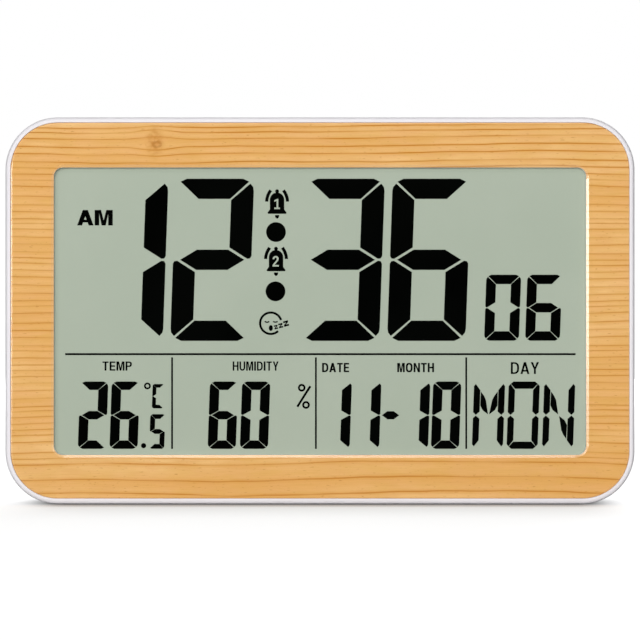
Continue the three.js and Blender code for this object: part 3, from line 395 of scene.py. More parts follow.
def settle(piece, body, slot, *finishes, stands_for=()):
    """Gives a finished piece its finish, the body it moves with and the solids it stands for; the slot is not
    used.
    """
    piece.data.materials.clear()
    for finish in finishes:
        piece.data.materials.append(finish)
    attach(piece, body)
    if stands_for:
        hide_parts(*stands_for)


# Finishes

class Finish:
    """One finish, built up from patterns that lie in the piece's own place."""

    def __init__(self, name):
        self.material = bpy.data.materials.new(name)
        self.material.use_nodes = True
        self.tree = self.material.node_tree
        self.shader = self.tree.nodes["Principled BSDF"]
        self.place = self.tree.nodes.new("ShaderNodeTexCoord").outputs["Object"]

    def feed(self, socket, value):
        if isinstance(value, bpy.types.NodeSocket):
            self.tree.links.new(value, socket)
        else:
            socket.default_value = value

    def node(self, kind, sockets, **settings):
        node = self.tree.nodes.new("ShaderNode" + kind)
        for name, value in settings.items():
            setattr(node, name, value)
        for name, value in sockets.items():
            self.feed(node.inputs[name], value)
        return node

    def shade(self, **sockets):
        """Sets the shader's own sockets; an underscore stands for a space."""
        for name, value in sockets.items():
            self.feed(self.shader.inputs[name.replace("_", " ")], value)

    def stretch(self, per_mm, shift=(0, 0, 0)):
        """The piece's place, counted in so many steps to the millimetre each way."""
        scale = [step / MM for step in per_mm]
        return self.node("Mapping", {"Vector": self.place, "Scale": scale, "Location": shift}).outputs[0]

    def noise(self, per_mm, detail=2.0, roughness=0.5, shift=(0, 0, 0)):
        vector = self.stretch(per_mm, shift)
        sockets = {"Vector": vector, "Scale": 1.0, "Detail": detail, "Roughness": roughness}
        return self.node("TexNoise", sockets).outputs["Fac"]

    def reckon(self, operation, first, second=0.0):
        return self.node("Math", {0: first, 1: second}, operation=operation).outputs[0]

    def times(self, first, second):
        return self.reckon("MULTIPLY", first, second)

    def less(self, first, second):
        return self.reckon("SUBTRACT", first, second)

    def remap(self, value, low, high, to_low=0.0, to_high=1.0):
        """Carries one span over to another, eased at both ends."""
        sockets = {"Value": value, "From Min": low, "From Max": high, "To Min": to_low, "To Max": to_high}
        return self.node("MapRange", sockets, interpolation_type="SMOOTHSTEP").outputs["Result"]

    def mix(self, share, first, second):
        """One colour over another; a mix of colours has its sockets at 0, 6 and 7."""
        return self.node("Mix", {0: share, 6: first, 7: second}, data_type="RGBA").outputs[2]

    def relief(self, height, depth_mm):
        sockets = {"Height": height, "Distance": depth_mm * MM, "Strength": 1.0}
        self.shade(Normal=self.node("Bump", sockets).outputs[0])


def rgb(red, green, blue):
    return (red, green, blue, 1.0)


def moulded(name, colour, drift, gloss, grain_mm=0.35, relief_mm=0.012, sheen=0.25):
    """Moulded plastic: a slow drift of tone, a fine spark-eroded texture and uneven gloss."""
    finish = Finish(name)
    tone = finish.remap(finish.noise([0.02] * 3, detail=3), 0.35, 0.65)
    finish.shade(Base_Color=finish.mix(tone, rgb(*colour), rgb(*drift)), Specular_IOR_Level=sheen)
    fine = finish.noise([1 / grain_mm] * 3, detail=2, roughness=0.6)
    finish.shade(Roughness=finish.remap(fine, 0.3, 0.7, gloss - 0.05, gloss + 0.07))
    finish.relief(fine, relief_mm)
    return finish.material


def metal(name, colour, drift, gloss, along=(0.15, 3.0, 3.0)):
    """Sheet, wire or bar with faint drawing lines along it."""
    finish = Finish(name)
    lines = finish.noise(along, detail=4, roughness=0.65)
    finish.shade(Metallic=1.0)
    finish.shade(Base_Color=finish.mix(finish.remap(lines, 0.3, 0.7), rgb(*colour), rgb(*drift)))
    finish.shade(Roughness=finish.remap(lines, 0.25, 0.75, gloss - 0.06, gloss + 0.1))
    finish.relief(lines, 0.006)
    return finish.material


def wood_grain(name, varnish=0.0, gloss=1.6):
    """Pale softwood, sawn along the grain: thin autumn lines that wander, slow bands and one small knot."""
    knot_z, close_rings_z = 124.3, 15.0
    finish = Finish(name)
    across = finish.node("SeparateXYZ", {"Vector": finish.stretch((1, 1, 1))}).outputs["Z"]

    def spot(x, z, wide, tall):
        """1 at a place on the panel, falling to 0 at an oval round it."""
        sockets = {
            "Vector": finish.place,
            "Location": (x * MM, 0, z * MM),
            "Scale": (wide * MM, 1, tall * MM),
        }
        field = finish.node("Mapping", sockets, vector_type="TEXTURE").outputs[0]
        return finish.node("TexGradient", {"Vector": field}, gradient_type="SPHERICAL").outputs["Fac"]

    def figure(along, over, detail, shift):
        """Noise drawn out along the grain, in steps to the millimetre along it and over it."""
        return finish.noise((along, 0, over), detail=detail, shift=(shift[0], 0, shift[1]))

    def shifted(height, field, by):
        return finish.reckon("ADD", height, finish.times(field, by))

    wander = figure(0.008, 0.02, 1, (3.1, 1.7))
    waver = figure(0.035, 0.1, 2, (9.4, 5.2))
    parting = finish.remap(spot(-56.4, knot_z, 12, 7), 0.0, 0.9)
    crown = finish.remap(spot(36, 9, 75, 20), 0.0, 1.0)
    height = shifted(across, finish.less(wander, 0.5), 6.0)
    height = shifted(height, finish.less(waver, 0.5), 1.2)
    height = shifted(height, finish.times(finish.less(across, knot_z), parting), -0.5)
    height = shifted(height, crown, -2.4)
    above = finish.reckon("MAXIMUM", finish.less(height, close_rings_z), 0.0)
    rings = shifted(finish.times(height, 0.25), above, 0.17)

    edges = {"W": rings, "Scale": 1.0, "Randomness": 1.0}
    to_line, nearest = (
        finish.node("TexVoronoi", edges, voronoi_dimensions="1D", feature=feature).outputs[output]
        for feature, output in (("DISTANCE_TO_EDGE", "Distance"), ("F1", "W"))
    )
    season = finish.remap(finish.less(rings, nearest), -0.1, 0.5)
    fade = finish.remap(figure(0.022, 0.4, 3, (5, 2)), 0.36, 0.62, 0.3, 1.0)
    fade = finish.times(fade, finish.remap(across, 105.0, 120.0, 0.8, 1.25))
    line = finish.times(finish.remap(to_line, 0.01, 0.085, 1.0, 0.0), fade)
    halo = finish.times(finish.remap(to_line, 0.0, 0.3, 1.0, 0.0), fade)
    bands = finish.remap(figure(0.006, 0.07, 2, (2, 8)), 0.36, 0.64)
    blotch = finish.remap(figure(0.06, 0.22, 3, (7, 3)), 0.36, 0.64)
    blush = finish.remap(figure(0.09, 0.3, 3, (4, 9)), 0.4, 0.66)
    pores = finish.remap(figure(0.5, 2.4, 2, (1, 6)), 0.63, 0.72)
    streak = finish.remap(figure(0.5, 0.9, 3, (8, 1)), 0.35, 0.65, 0.35, 1.0)
    fibre = finish.noise((0.1, 0, 3.4), detail=5, roughness=0.65)
    smear = finish.times(finish.remap(spot(-56.6, 124.4, 4.2, 7.5), 0.0, 0.8), 0.72)
    eye = spot(-55.9, 123.3, 2.3, 1.6)
    loop = finish.times(finish.remap(eye, 0.1, 0.4), finish.remap(eye, 0.5, 0.85, 1.0, 0.25))

    colour = finish.mix(bands, rgb(0.918, 0.564, 0.224), rgb(0.852, 0.466, 0.150))
    layers = (
        (finish.times(blotch, 0.45), (0.78, 0.44, 0.115)),
        (finish.times(blush, 0.4), (0.86, 0.465, 0.185)),
        (finish.times(season, 0.28), (0.74, 0.355, 0.072)),
        (finish.remap(fibre, 0.35, 0.7, 0.0, 0.22), (0.66, 0.30, 0.058)),
        (finish.times(pores, 0.55), (0.52, 0.20, 0.035)),
        (finish.times(halo, 0.42), (0.68, 0.285, 0.016)),
        (finish.times(line, 0.8), (0.48, 0.15, 0.001)),
        (finish.times(smear, streak), (0.58, 0.235, 0.032)),
        (finish.times(loop, 0.45), (0.42, 0.15, 0.018)),
    )
    for share, tone in layers:
        colour = finish.mix(share, colour, rgb(*tone))
    finish.shade(Base_Color=colour, Specular_IOR_Level=0.1)
    finish.shade(Roughness=finish.remap(fibre, 0.3, 0.7, 0.48, 0.62))
    finish.relief(fibre, 0.008)
    finish.shade(Coat_Weight=varnish, Coat_Roughness=0.2, Coat_IOR=gloss)
    return finish.material


def pale_core():
    """The sawn edge of the panel's pale core, with short fibres."""
    finish = Finish("pale_core")
    fibre = finish.noise((0.3, 5.0, 1.4), detail=3)
    colour = finish.mix(fibre, rgb(0.93, 0.84, 0.72), rgb(0.83, 0.70, 0.54))
    finish.shade(Base_Color=colour, Roughness=0.55)
    finish.relief(fibre, 0.01)
    return finish.material


def display_film():
    """The grey-green front film of the display, with an anti-glare mist."""
    finish = Finish("display_film")
    cloud = finish.remap(finish.noise([0.03] * 3, detail=2), 0.3, 0.7)
    mist = finish.noise([3.2] * 3, detail=2)
    colour = finish.mix(cloud, rgb(0.418, 0.477, 0.382), rgb(0.402, 0.463, 0.368))
    colour = finish.mix(finish.remap(mist, 0.3, 0.7, 0.0, 0.08), colour, rgb(0.36, 0.42, 0.34))
    finish.shade(Base_Color=colour, Specular_IOR_Level=0.25)
    finish.shade(Roughness=finish.remap(mist, 0.3, 0.7, 0.5, 0.62))
    finish.relief(mist, 0.002)
    return finish.material


def contact_stripes():
    """The rubber contact strip's dark and pale layers, one after another along it."""
    finish = Finish("contact_stripes")
    wave = {"Vector": finish.stretch((1.6, 0, 0)), "Scale": 1.0, "Distortion": 0.2}
    layers = finish.node("TexWave", wave, bands_direction="X").outputs["Fac"]
    colour = finish.mix(layers, rgb(0.015, 0.015, 0.016), rgb(0.12, 0.11, 0.10))
    finish.shade(Base_Color=colour, Roughness=0.75)
    return finish.material


def board_green():
    """Green solder mask over copper tracks."""
    finish = Finish("board_green")
    sockets = {"Vector": finish.stretch([0.22] * 3), "Scale": 1.0, "Randomness": 1.0}
    cells = finish.node("TexVoronoi", sockets, feature="F1", distance="CHEBYCHEV").outputs["Distance"]
    track = finish.remap(finish.reckon("FRACT", finish.times(cells, 3.5)), 0.42, 0.5)
    colour = finish.mix(track, rgb(0.012, 0.115, 0.05), rgb(0.03, 0.21, 0.085))
    finish.shade(Base_Color=colour, Roughness=0.35)
    finish.relief(track, 0.03)
    return finish.material


def clear_glass():
    """The display's glass, with the faintest haze."""
    finish = Finish("clear_glass")
    haze = finish.noise([0.2] * 3, detail=2)
    finish.shade(Base_Color=rgb(0.9, 0.96, 0.93), Transmission_Weight=1.0, IOR=1.5)
    finish.shade(Roughness=finish.remap(haze, 0.3, 0.7, 0.02, 0.07))
    return finish.material


def cell_jacket():
    """A plain dark battery jacket, slightly mottled."""
    finish = Finish("cell_jacket")
    mottle = finish.noise([1.1] * 3, detail=2)
    finish.shade(Base_Color=finish.mix(mottle, rgb(0.045, 0.075, 0.085), rgb(0.07, 0.105, 0.115)))
    finish.shade(Roughness=finish.remap(mottle, 0.3, 0.7, 0.25, 0.36), Metallic=0.2)
    return finish.material


white_case = moulded("white_case", (0.930, 0.905, 0.930), (0.910, 0.885, 0.912), 0.5, sheen=0.0)
white_back = moulded("white_back", (0.835, 0.820, 0.840), (0.805, 0.790, 0.812), 0.48, 0.45, 0.02)
white_door = moulded("white_door", (0.825, 0.810, 0.830), (0.795, 0.780, 0.802), 0.46, 0.45, 0.02)
key_white = moulded("key_white", (0.70, 0.69, 0.71), (0.66, 0.65, 0.67), 0.36, 0.3, 0.006)
grey_frame = moulded("grey_frame", (0.33, 0.34, 0.35), (0.28, 0.29, 0.30), 0.5)
black_body = moulded("black_body", (0.018, 0.018, 0.02), (0.03, 0.03, 0.032), 0.4)
plunger_black = moulded("plunger_black", (0.03, 0.03, 0.032), (0.045, 0.045, 0.048), 0.35)
sensor_blue = moulded("sensor_blue", (0.05, 0.16, 0.38), (0.04, 0.13, 0.31), 0.42)
capacitor_sleeve = moulded("capacitor_sleeve", (0.02, 0.045, 0.12), (0.03, 0.06, 0.15), 0.3)
display_ink = moulded(
    "display_ink", (0.0008, 0.001, 0.0008), (0.0016, 0.002, 0.0016), 0.6, 0.3, 0.001, sheen=0.0
)
legend_ink = moulded("legend_ink", (0.20, 0.20, 0.21), (0.25, 0.25, 0.26), 0.6, 0.3, 0.002)
red_sleeve = moulded("red_sleeve", (0.45, 0.02, 0.02), (0.38, 0.015, 0.015), 0.4)
black_sleeve = moulded("black_sleeve", (0.02, 0.02, 0.022), (0.03, 0.03, 0.032), 0.4)
zinc_steel = metal("zinc_steel", (0.60, 0.61, 0.63), (0.52, 0.53, 0.55), 0.28, (2.0, 2.0, 2.0))
nickel_spring = metal("nickel_spring", (0.70, 0.69, 0.66), (0.62, 0.61, 0.58), 0.22)
crystal_can = metal("crystal_can", (0.66, 0.67, 0.69), (0.60, 0.61, 0.63), 0.2)
buzzer_brass = metal("buzzer_brass", (0.62, 0.42, 0.14), (0.56, 0.37, 0.11), 0.3, (0.6, 0.6, 0.6))
silver_film = metal("silver_film", (0.62, 0.64, 0.62), (0.58, 0.60, 0.58), 0.4, (0.1, 1.0, 1.5))
cell_metal = metal("cell_metal", (0.66, 0.66, 0.66), (0.6, 0.6, 0.6), 0.25, (1.2, 1.2, 1.2))
wood_face_finish = wood_grain("wood_grain")
edge_finish = wood_grain("varnished_edge", varnish=1.0)
window_edge_finish = wood_grain("varnished_window_edge", varnish=1.0, gloss=1.75)
pale_core_finish = pale_core()
clear_glass_finish = clear_glass()
cell_jacket_finish = cell_jacket()


# Front: case, wood panel

def rim_shoulder(case):
    """Draws the rim's round out into a flatter face with a steep shoulder.

    The shoulder runs out towards the foot."""
    depth_slack, reach_slack = 0.02, 0.06
    (left, bottom), (right, top) = CASE_CORNERS[0], CASE_CORNERS[-1]
    edit(case)
    mesh = bmesh.from_edit_mesh(case.data)
    for vertex in mesh.verts:
        at = vertex.co / MM
        inner = Vector((min(max(at.x, left), right), at.y, min(max(at.z, bottom), top)))
        out = at - inner
        for (depth, reach), (new_depth, new_reach) in RIM_SHOULDER.items():
            if abs(at.y - depth) < depth_slack and abs(out.length - reach) < reach_slack:
                place = inner + out * (new_reach / out.length)
                place.y = new_depth
                share = 1 + min(out.z / out.length, 0)
                vertex.co = at.lerp(place, share) * MM
    bmesh.update_edit_mesh(case.data)
    done()


def front_case():
    case = moulding("front_shell", "front_case", edge_round=0.18, has_case_corners=True)
    rim_shoulder(case)
    smooth(case)
    settle(case, "case", "case_plastic", white_case, stands_for=["front_shell"])


def grown(span, by):
    return span[0] - by, span[1] + by


def length_of(span):
    return span[1] - span[0]


def window_slope():
    """A cutter for the shallow slope round the front of the window."""
    past = 0.4
    reach = WINDOW_SLOPE_WIDTH * (1 + past / WINDOW_SLOPE_DEPTH)
    sides, heights = grown(WINDOW_SIDES, reach), grown(WINDOW_HEIGHTS, reach)
    depths = (PANEL_FRONT - past, PANEL_FRONT + WINDOW_SLOPE_DEPTH)
    cutter = rounded_slab("slope_cutter", sides, heights, WINDOW_RADIUS + reach, depths, SMALL_CORNER_STEPS)
    edit(cutter)
    choose(cutter, "VERT", lambda at, vertex: at.y > PANEL_FRONT)
    narrow = length_of(WINDOW_SIDES) / length_of(sides)
    lower = length_of(WINDOW_HEIGHTS) / length_of(heights)
    centre = in_metres(0, depths[1], sum(WINDOW_HEIGHTS) / 2)
    bpy.ops.transform.resize(value=(narrow, 1, lower), center_override=centre)
    done()
    return cutter


def wood_panel():
    """The panel: printed grain on its face, varnished edges and a pale core where it is sawn."""
    edge = PANEL_FRONT + sum(deep for wide, deep in PANEL_EDGE_STEPS)
    panel = rounded_slab("wood_face", PANEL_SIDES, PANEL_HEIGHTS, PANEL_RADIUS, (edge, PANEL_BACK))
    edit(panel)
    choose(panel, "FACE", lambda at, face: face.normal.y < -SQUARE_ON)
    for wide, deep in PANEL_EDGE_STEPS:
        inset(wide, deep)
    done()
    past = (PANEL_FRONT - 1, PANEL_BACK + 1)
    walls = rounded_slab("wall_cutter", WINDOW_SIDES, WINDOW_HEIGHTS, WINDOW_RADIUS, past, SMALL_CORNER_STEPS)
    carve(panel, walls, window_slope())
    smooth(panel, degrees=10)
    finishes = (wood_face_finish, edge_finish, pale_core_finish, window_edge_finish)
    settle(panel, "case", "wood_panel", *finishes, stands_for=["wood_panel"])
    on_face, on_edge, on_core, on_window_edge = range(len(finishes))
    wall_lean = 0.1
    window = grown(WINDOW_SIDES, WINDOW_SLOPE_WIDTH), grown(WINDOW_HEIGHTS, WINDOW_SLOPE_WIDTH)
    for face in panel.data.polygons:
        at = face.center / MM
        if face.normal.y < -SQUARE_ON:
            face.material_index = on_face
        elif face.normal.y >= -wall_lean:
            face.material_index = on_core
        elif all(low < where < high for where, (low, high) in zip((at.x, at.z), window)):
            face.material_index = on_window_edge
        else:
            face.material_index = on_edge


# Display: everything that it shows lies as ink on the front film

def lay_ink(piece, name, place, turn=0):
    """Stands a flat drawing up at a place and closes its mesh."""
    piece.rotation_euler = (QUARTER_TURN, 0, turn)
    piece.location = in_metres(*place)
    fresh(name)
    edit(piece)
    choose_all()
    bpy.ops.mesh.remove_doubles(threshold=INK_DOUBLE * MM)
    bpy.ops.mesh.normals_make_consistent(inside=False)
    done()
    return piece


def printed(name, outlines):
    """Ink on the display: closed outlines in X and Z, filled and given a film's thickness."""
    drawing = bpy.data.curves.new(name, "CURVE")
    drawing.dimensions = "2D"
    drawing.fill_mode = "BOTH"
    drawing.extrude = INK / 2 * MM
    for outline in outlines:
        spline = drawing.splines.new("POLY")
        spline.points.add(len(outline) - 1)
        for point, (x, z) in zip(spline.points, outline):
            point.co = (x * MM, z * MM, 0, 1)
        spline.use_cyclic_u = True
    piece = lay_ink(as_mesh(added(name, drawing)), name, (0, DISPLAY_FACE - INK / 2, 0))
    settle(piece, "case", "black_plastic", display_ink)


def moved(outline, x, z):
    return [(x + u, z + v) for u, v in outline]


def slanted(outline, left, bottom, height):
    return [(left + x + SLANT * (z - height / 2), bottom + z) for x, z in outline]


def bleed(outline, by=BLEED):
    """A closed outline, spread a little as the lit liquid spreads past its electrode."""
    count = len(outline)
    turn = sum(
        outline[i][0] * outline[(i + 1) % count][1] - outline[(i + 1) % count][0] * outline[i][1]
        for i in range(count)
    )
    side = math.copysign(by, turn)
    spread = []
    for i, (x, z) in enumerate(outline):
        before, after = outline[i - 1], outline[(i + 1) % count]
        first = Vector((x - before[0], z - before[1])).normalized()
        second = Vector((after[0] - x, after[1] - z)).normalized()
        out = Vector((first.y + second.y, -first.x - second.x))
        scale = side * 2 / max(out.length_squared, 1.0)
        spread.append((x + out.x * scale, z + out.y * scale))
    return spread


def mirrored(outline, width):
    return [(width - x, z) for x, z in outline]


def upside_down(outline, height):
    return [(x, height - z) for x, z in outline]


def seven_bars(width, height, upright, level, gap):
    """The seven bars of a digit, drawn from its lower left corner, with mitred and cropped ends.

    The crops are shares of the uprights' width and of the level bars' thickness."""
    middle_z = height / 2
    inner = upright + 0.56 * gap
    tip = 0.33 * upright
    top = [
        (0.23 * upright, height - 0.14 * level),
        (0.5 * upright, height),
        (width - 0.5 * upright, height),
        (width - 0.23 * upright, height - 0.14 * level),
        (width - inner, height - level),
        (inner, height - level),
    ]
    upper_right = [
        (width - 0.155 * upright, height - 0.25 * level),
        (width - 0.03 * upright, height - 0.42 * level),
        (width, height - 0.62 * level),
        (width, middle_z + 0.2 * level),
        (width - 0.06 * upright, middle_z + 0.08 * level),
        (width - 0.18 * upright, middle_z + 0.06 * level),
        (width - upright, middle_z + level / 2 + gap),
        (width - upright, height - level - 0.6 * gap),
    ]
    centre = [
        (tip, middle_z),
        (inner, middle_z + level / 2),
        (width - inner, middle_z + level / 2),
        (width - tip, middle_z),
        (width - inner, middle_z - level / 2),
        (inner, middle_z - level / 2),
    ]
    lower_right = upside_down(upper_right, height)
    return {
        "a": top,
        "b": upper_right,
        "c": lower_right,
        "d": upside_down(top, height),
        "e": mirrored(lower_right, width),
        "f": mirrored(upper_right, width),
        "g": centre,
    }


LIT_BARS = {"0": "abcdef", "1": "bc", "2": "abged", "3": "abgcd", "5": "afgcd", "6": "afgedc", "C": "afed"}


def digits(figures, places, bottom, width, height, upright, level, gap):
    """The lit bars of several figures, each with its left edge at its own place."""
    bars = seven_bars(width, height, upright, level, gap)
    return [
        slanted(bleed(bars[bar]), left, bottom, height)
        for figure, left in zip(figures, places)
        for bar in LIT_BARS[figure]
    ]


def ellipse(x, z, wide, tall, steps=24):
    turns = [2 * math.pi * step / steps for step in range(steps)]
    return [(x + wide * math.cos(turn), z + tall * math.sin(turn)) for turn in turns]


def disc(x, z, radius):
    return ellipse(x, z, radius, radius, 40)


def ring(x, z, outer, inner):
    return [disc(x, z, outer), disc(x, z, inner)]


def arc_band(x, z, radius, thick, start, end, steps=28):
    """Part of a ring, between two angles in degrees."""
    turns = [math.radians(start + (end - start) * step / steps) for step in range(steps + 1)]
    outer, inner = (
        [(x + reach * math.cos(turn), z + reach * math.sin(turn)) for turn in turns]
        for reach in (radius + thick / 2, radius - thick / 2)
    )
    return outer + inner[::-1]


def rule(start, end, thick):
    """A straight ruled line between two points."""
    (x0, z0), (x1, z1) = start, end
    length = math.hypot(x1 - x0, z1 - z0)
    u, v = (z1 - z0) / length * thick / 2, (x0 - x1) / length * thick / 2
    return [(x0 + u, z0 + v), (x1 + u, z1 + v), (x1 - u, z1 - v), (x0 - u, z0 - v)]


def time_and_seconds():
    big = dict(bottom=56.0, width=26.81, height=55.59, upright=7.56, level=6.81, gap=0.86)
    printed("time_digits", digits("1236", (-79.92, -50.46, -5.53, 24.10), **big))
    small = dict(bottom=56.07, width=11.83, height=22.52, upright=3.27, level=3.09, gap=0.34)
    printed("seconds_digits", digits("06", (56.86, 70.95), **small))
    printed("time_colon", [disc(-15.13, 93.33, 3.4), disc(-15.30, 72.95, 3.4)])


def lower_readings():
    low = dict(bottom=18.88, width=9.56, height=23.0, upright=3.2, level=2.75, gap=0.275)
    tenth = dict(bottom=18.91, width=5.02, height=11.76, upright=1.58, level=1.5, gap=0.22)
    unit = dict(bottom=32.8, width=3.75, height=8.22, upright=1.2, level=1.1, gap=0.2)
    temperature = digits("26", (-82.78, -71.91), **low)
    temperature += digits("5", (-58.44,), **tenth) + digits("C", (-57.58,), **unit)
    temperature += [disc(-60.64, 19.91, 0.89)] + ring(-59.33, 40.43, 1.18, 0.56)
    printed("temperature_digits", temperature)
    humidity = digits("60", (-38.16, -27.09), **low)
    humidity += ring(-6.29, 39.81, 1.33, 0.62) + ring(-4.81, 33.9, 1.33, 0.62)
    humidity += [rule((-7.8, 33.25), (-3.33, 40.36), 0.78)]
    printed("humidity_digits", humidity)
    date = digits("1110", (0.96, 11.10, 27.91, 38.57), **low)
    half = 1.39
    dash = [(-2.97, 0), (-1.1, half), (1.1, half), (2.97, 0), (1.1, -half), (-1.1, -half)]
    date.append(moved(dash, 24.25, 30.36))
    printed("date_digits", date)


def weekday():
    """Three starburst letters: uprights with pointed ends, wedges for the slanting strokes."""
    width, height, bottom = 10.54, 23.0, 18.88
    half = height / 2
    upper_left = [(0.55, height - 0.86), (0, height - 1.55), (0, half + 1.07)]
    upper_left += [(0.89, half + 0.21), (2.1, half + 1.27), (2.1, height - 2.92)]
    wedge = [(2.41, 8.08), (3.44, 6.63), (4.13, 5.16), (5.05, 0.34), (3.2, 1.79), (2.37, 3.4)]
    left_wedge = moved(wedge, 0, half)
    crop = [(0.72, height - 0.72), (1.6, height)]
    top = crop + mirrored(crop, width)[::-1]
    top += [(width - 2.19, height - 2.34), (2.19, height - 2.34)]
    uprights = [upper_left, mirrored(upper_left, width)]
    uprights += [upside_down(outline, height) for outline in uprights]
    letters = {
        52.65: uprights + [left_wedge, mirrored(left_wedge, width)],
        64.56: uprights + [top, upside_down(top, height)],
        76.76: uprights + [left_wedge, upside_down(mirrored(left_wedge, width), height)],
    }
    outlines = [
        slanted(bleed(outline), left, bottom, height)
        for left, strokes in letters.items()
        for outline in strokes
    ]
    printed("weekday_letters", outlines)


def rules():
    lines = [rule((-87.59, 51.36), (87.86, 51.36), 0.68)]
    lines += [rule((x, 18.81), (x, 50.26), 0.62) for x in (-50.84, -1.41, 50.26)]
    printed("display_rules", lines)


def oval_side(left, right, bottom, top, steps=10):
    """The right half of a square-shouldered oval, from top to bottom."""
    squareness = 0.75
    half, mid = (top - bottom) / 2, (top + bottom) / 2
    points = []
    for step in range(steps + 1):
        angle = QUARTER_TURN - math.pi * step / steps
        out, up = abs(math.cos(angle)) ** squareness, abs(math.sin(angle)) ** squareness
        points.append((left + (right - left) * out, mid + math.copysign(half * up, math.sin(angle))))
    return points


def sag(left, right, bottom, height, steps=12):
    """A hanging half oval, from left to right."""
    middle_x, half = (left + right) / 2, (right - left) / 2
    angles = [math.pi * (1 + step / steps) for step in range(steps + 1)]
    return [(middle_x + half * math.cos(a), height + (height - bottom) * math.sin(a)) for a in angles]


LETTER_WIDTHS = dict(
    A=0.76, D=0.70, E=0.60, H=0.70, I=0.22, M=0.84, N=0.71, O=0.76, P=0.66, T=0.64, U=0.69, Y=0.70
)
LETTER_GAP = 0.11


def block_letter(letter, s):
    """The outlines of one block letter of height 1, with uprights s wide and thinner level strokes."""
    w, t = LETTER_WIDTHS[letter], 0.82 * s
    mid = w / 2
    if letter == "A":
        lean, foot, bar = mid - 0.55 * s, 1.06 * s, 0.2
        notch = [(foot, 0), (lean * bar + foot, bar), (w - lean * bar - foot, bar), (w - foot, 0)]
        low = bar + t
        hole = [(lean * low + foot, low), (w - lean * low - foot, low), (mid, (mid - foot) / lean)]
        return [[(0, 0), (lean, 1), (w - lean, 1), (w, 0)] + notch[::-1], hole]
    if letter == "D":
        start = 0.36 * w
        hole = [(s, t), (s, 1 - t)] + oval_side(start, w - s, t, 1 - t)
        return [[(0, 0), (0, 1)] + oval_side(start, w, 0, 1), hole]
    if letter == "O":
        outer, inner = oval_side(mid, w, -0.01, 1.01), oval_side(mid, w - s, t, 1 - t)
        return [side + mirrored(side, w)[::-1][1:-1] for side in (outer, inner)]
    if letter == "P":
        start, low = 0.5 * w, 0.4
        hole = [(s, low + t), (s, 1 - t)] + oval_side(start, w - s, low + t, 1 - t)
        return [[(0, 0), (0, 1)] + oval_side(start, w, low, 1) + [(s, low), (s, 0)], hole]
    if letter == "U":
        inner, outer = sag(s, w - s, t, 0.34), sag(0, w, -0.01, 0.34)
        return [[(0, 1), (s, 1)] + inner + [(w - s, 1), (w, 1)] + outer[::-1]]
    left, right = mid - s / 2, mid + s / 2
    outline = {
        "E": [
            (0, 0), (0, 1), (w, 1), (w, 1 - t), (s, 1 - t), (s, 0.5 + t / 2), (w - 0.04, 0.5 + t / 2),
            (w - 0.04, 0.5 - t / 2), (s, 0.5 - t / 2), (s, t), (w, t), (w, 0),
        ],
        "H": [
            (0, 0), (0, 1), (s, 1), (s, 0.5 + t / 2), (w - s, 0.5 + t / 2), (w - s, 1),
            (w, 1), (w, 0), (w - s, 0), (w - s, 0.5 - t / 2), (s, 0.5 - t / 2), (s, 0),
        ],
        "I": [(0, 0), (0, 1), (w, 1), (w, 0)],
        "M": [
            (0, 0), (0, 1), (1.4 * s, 1), (mid, 0.33), (w - 1.4 * s, 1), (w, 1), (w, 0),
            (w - s, 0), (w - s, 0.76), (mid + 0.45 * s, 0), (mid - 0.45 * s, 0), (s, 0.76), (s, 0),
        ],
        "N": [
            (0, 0), (0, 1), (1.05 * s, 1), (w - s, 0.36), (w - s, 1),
            (w, 1), (w, 0), (w - 1.05 * s, 0), (s, 0.64), (s, 0),
        ],
        "T": [(left, 0), (left, 1 - t), (0, 1 - t), (0, 1), (w, 1), (w, 1 - t), (right, 1 - t), (right, 0)],
        "Y": [
            (left, 0), (left, 0.4), (0, 1), (1.15 * s, 1), (mid, 0.58),
            (w - 1.15 * s, 1), (w, 1), (right, 0.4), (right, 0),
        ],
    }
    return [outline[letter]]


def lettered(text, sides, heights, stroke, gap=LETTER_GAP):
    """A word in block letters, fitted to a box."""
    outlines, pen = [], 0.0
    for letter in text:
        outlines += [moved(outline, pen, 0) for outline in block_letter(letter, stroke)]
        pen += LETTER_WIDTHS[letter] + gap
    wide, tall = length_of(sides) / (pen - gap), length_of(heights)
    return [[(sides[0] + wide * x, heights[0] + tall * z) for x, z in outline] for outline in outlines]


def labels():
    temperature_row, date_row = (45.69, 48.85), (45.17, 48.34)
    outlines = lettered("TEMP", (-74.77, -64.66), temperature_row, 0.19)
    outlines += lettered("HUMIDITY", (-30.01, -14.23), temperature_row, 0.19)
    outlines += lettered("DATE", (0.72, 10.0), date_row, 0.21)
    outlines += lettered("MONTH", (26.54, 39.19), date_row, 0.21)
    outlines += lettered("DAY", (65.59, 75.28), (44.55, 48.61), 0.17)
    printed("display_labels", outlines)
    printed("morning_mark", lettered("AM", (-83.47, -71.23), (95.6, 100.9), 0.212, 0.05))


BELL_FIGURES = {
    "1": [
        (-0.93, 1.68), (0.93, 1.68), (0.93, 2.12), (0.36, 2.12), (0.36, 5.12), (0.02, 5.12),
        (-0.9, 4.66), (-0.9, 4.2), (-0.14, 4.52), (-0.14, 2.12), (-0.93, 2.12),
    ],
    "2": [
        (-1.1, 4.2), (-0.97, 4.78), (-0.55, 5.14), (-0.05, 5.22), (0.47, 5.1), (0.8, 4.7), (0.86, 4.2),
        (0.7, 3.72), (0.3, 3.16), (-0.33, 2.45), (-0.52, 2.12), (0.93, 2.12), (0.93, 1.65), (-1.17, 1.65),
        (-1.14, 2.02), (-0.82, 2.6), (-0.08, 3.44), (0.26, 3.92), (0.34, 4.26), (0.25, 4.58), (-0.06, 4.75),
        (-0.36, 4.68), (-0.55, 4.48), (-0.62, 4.2),
    ],
}


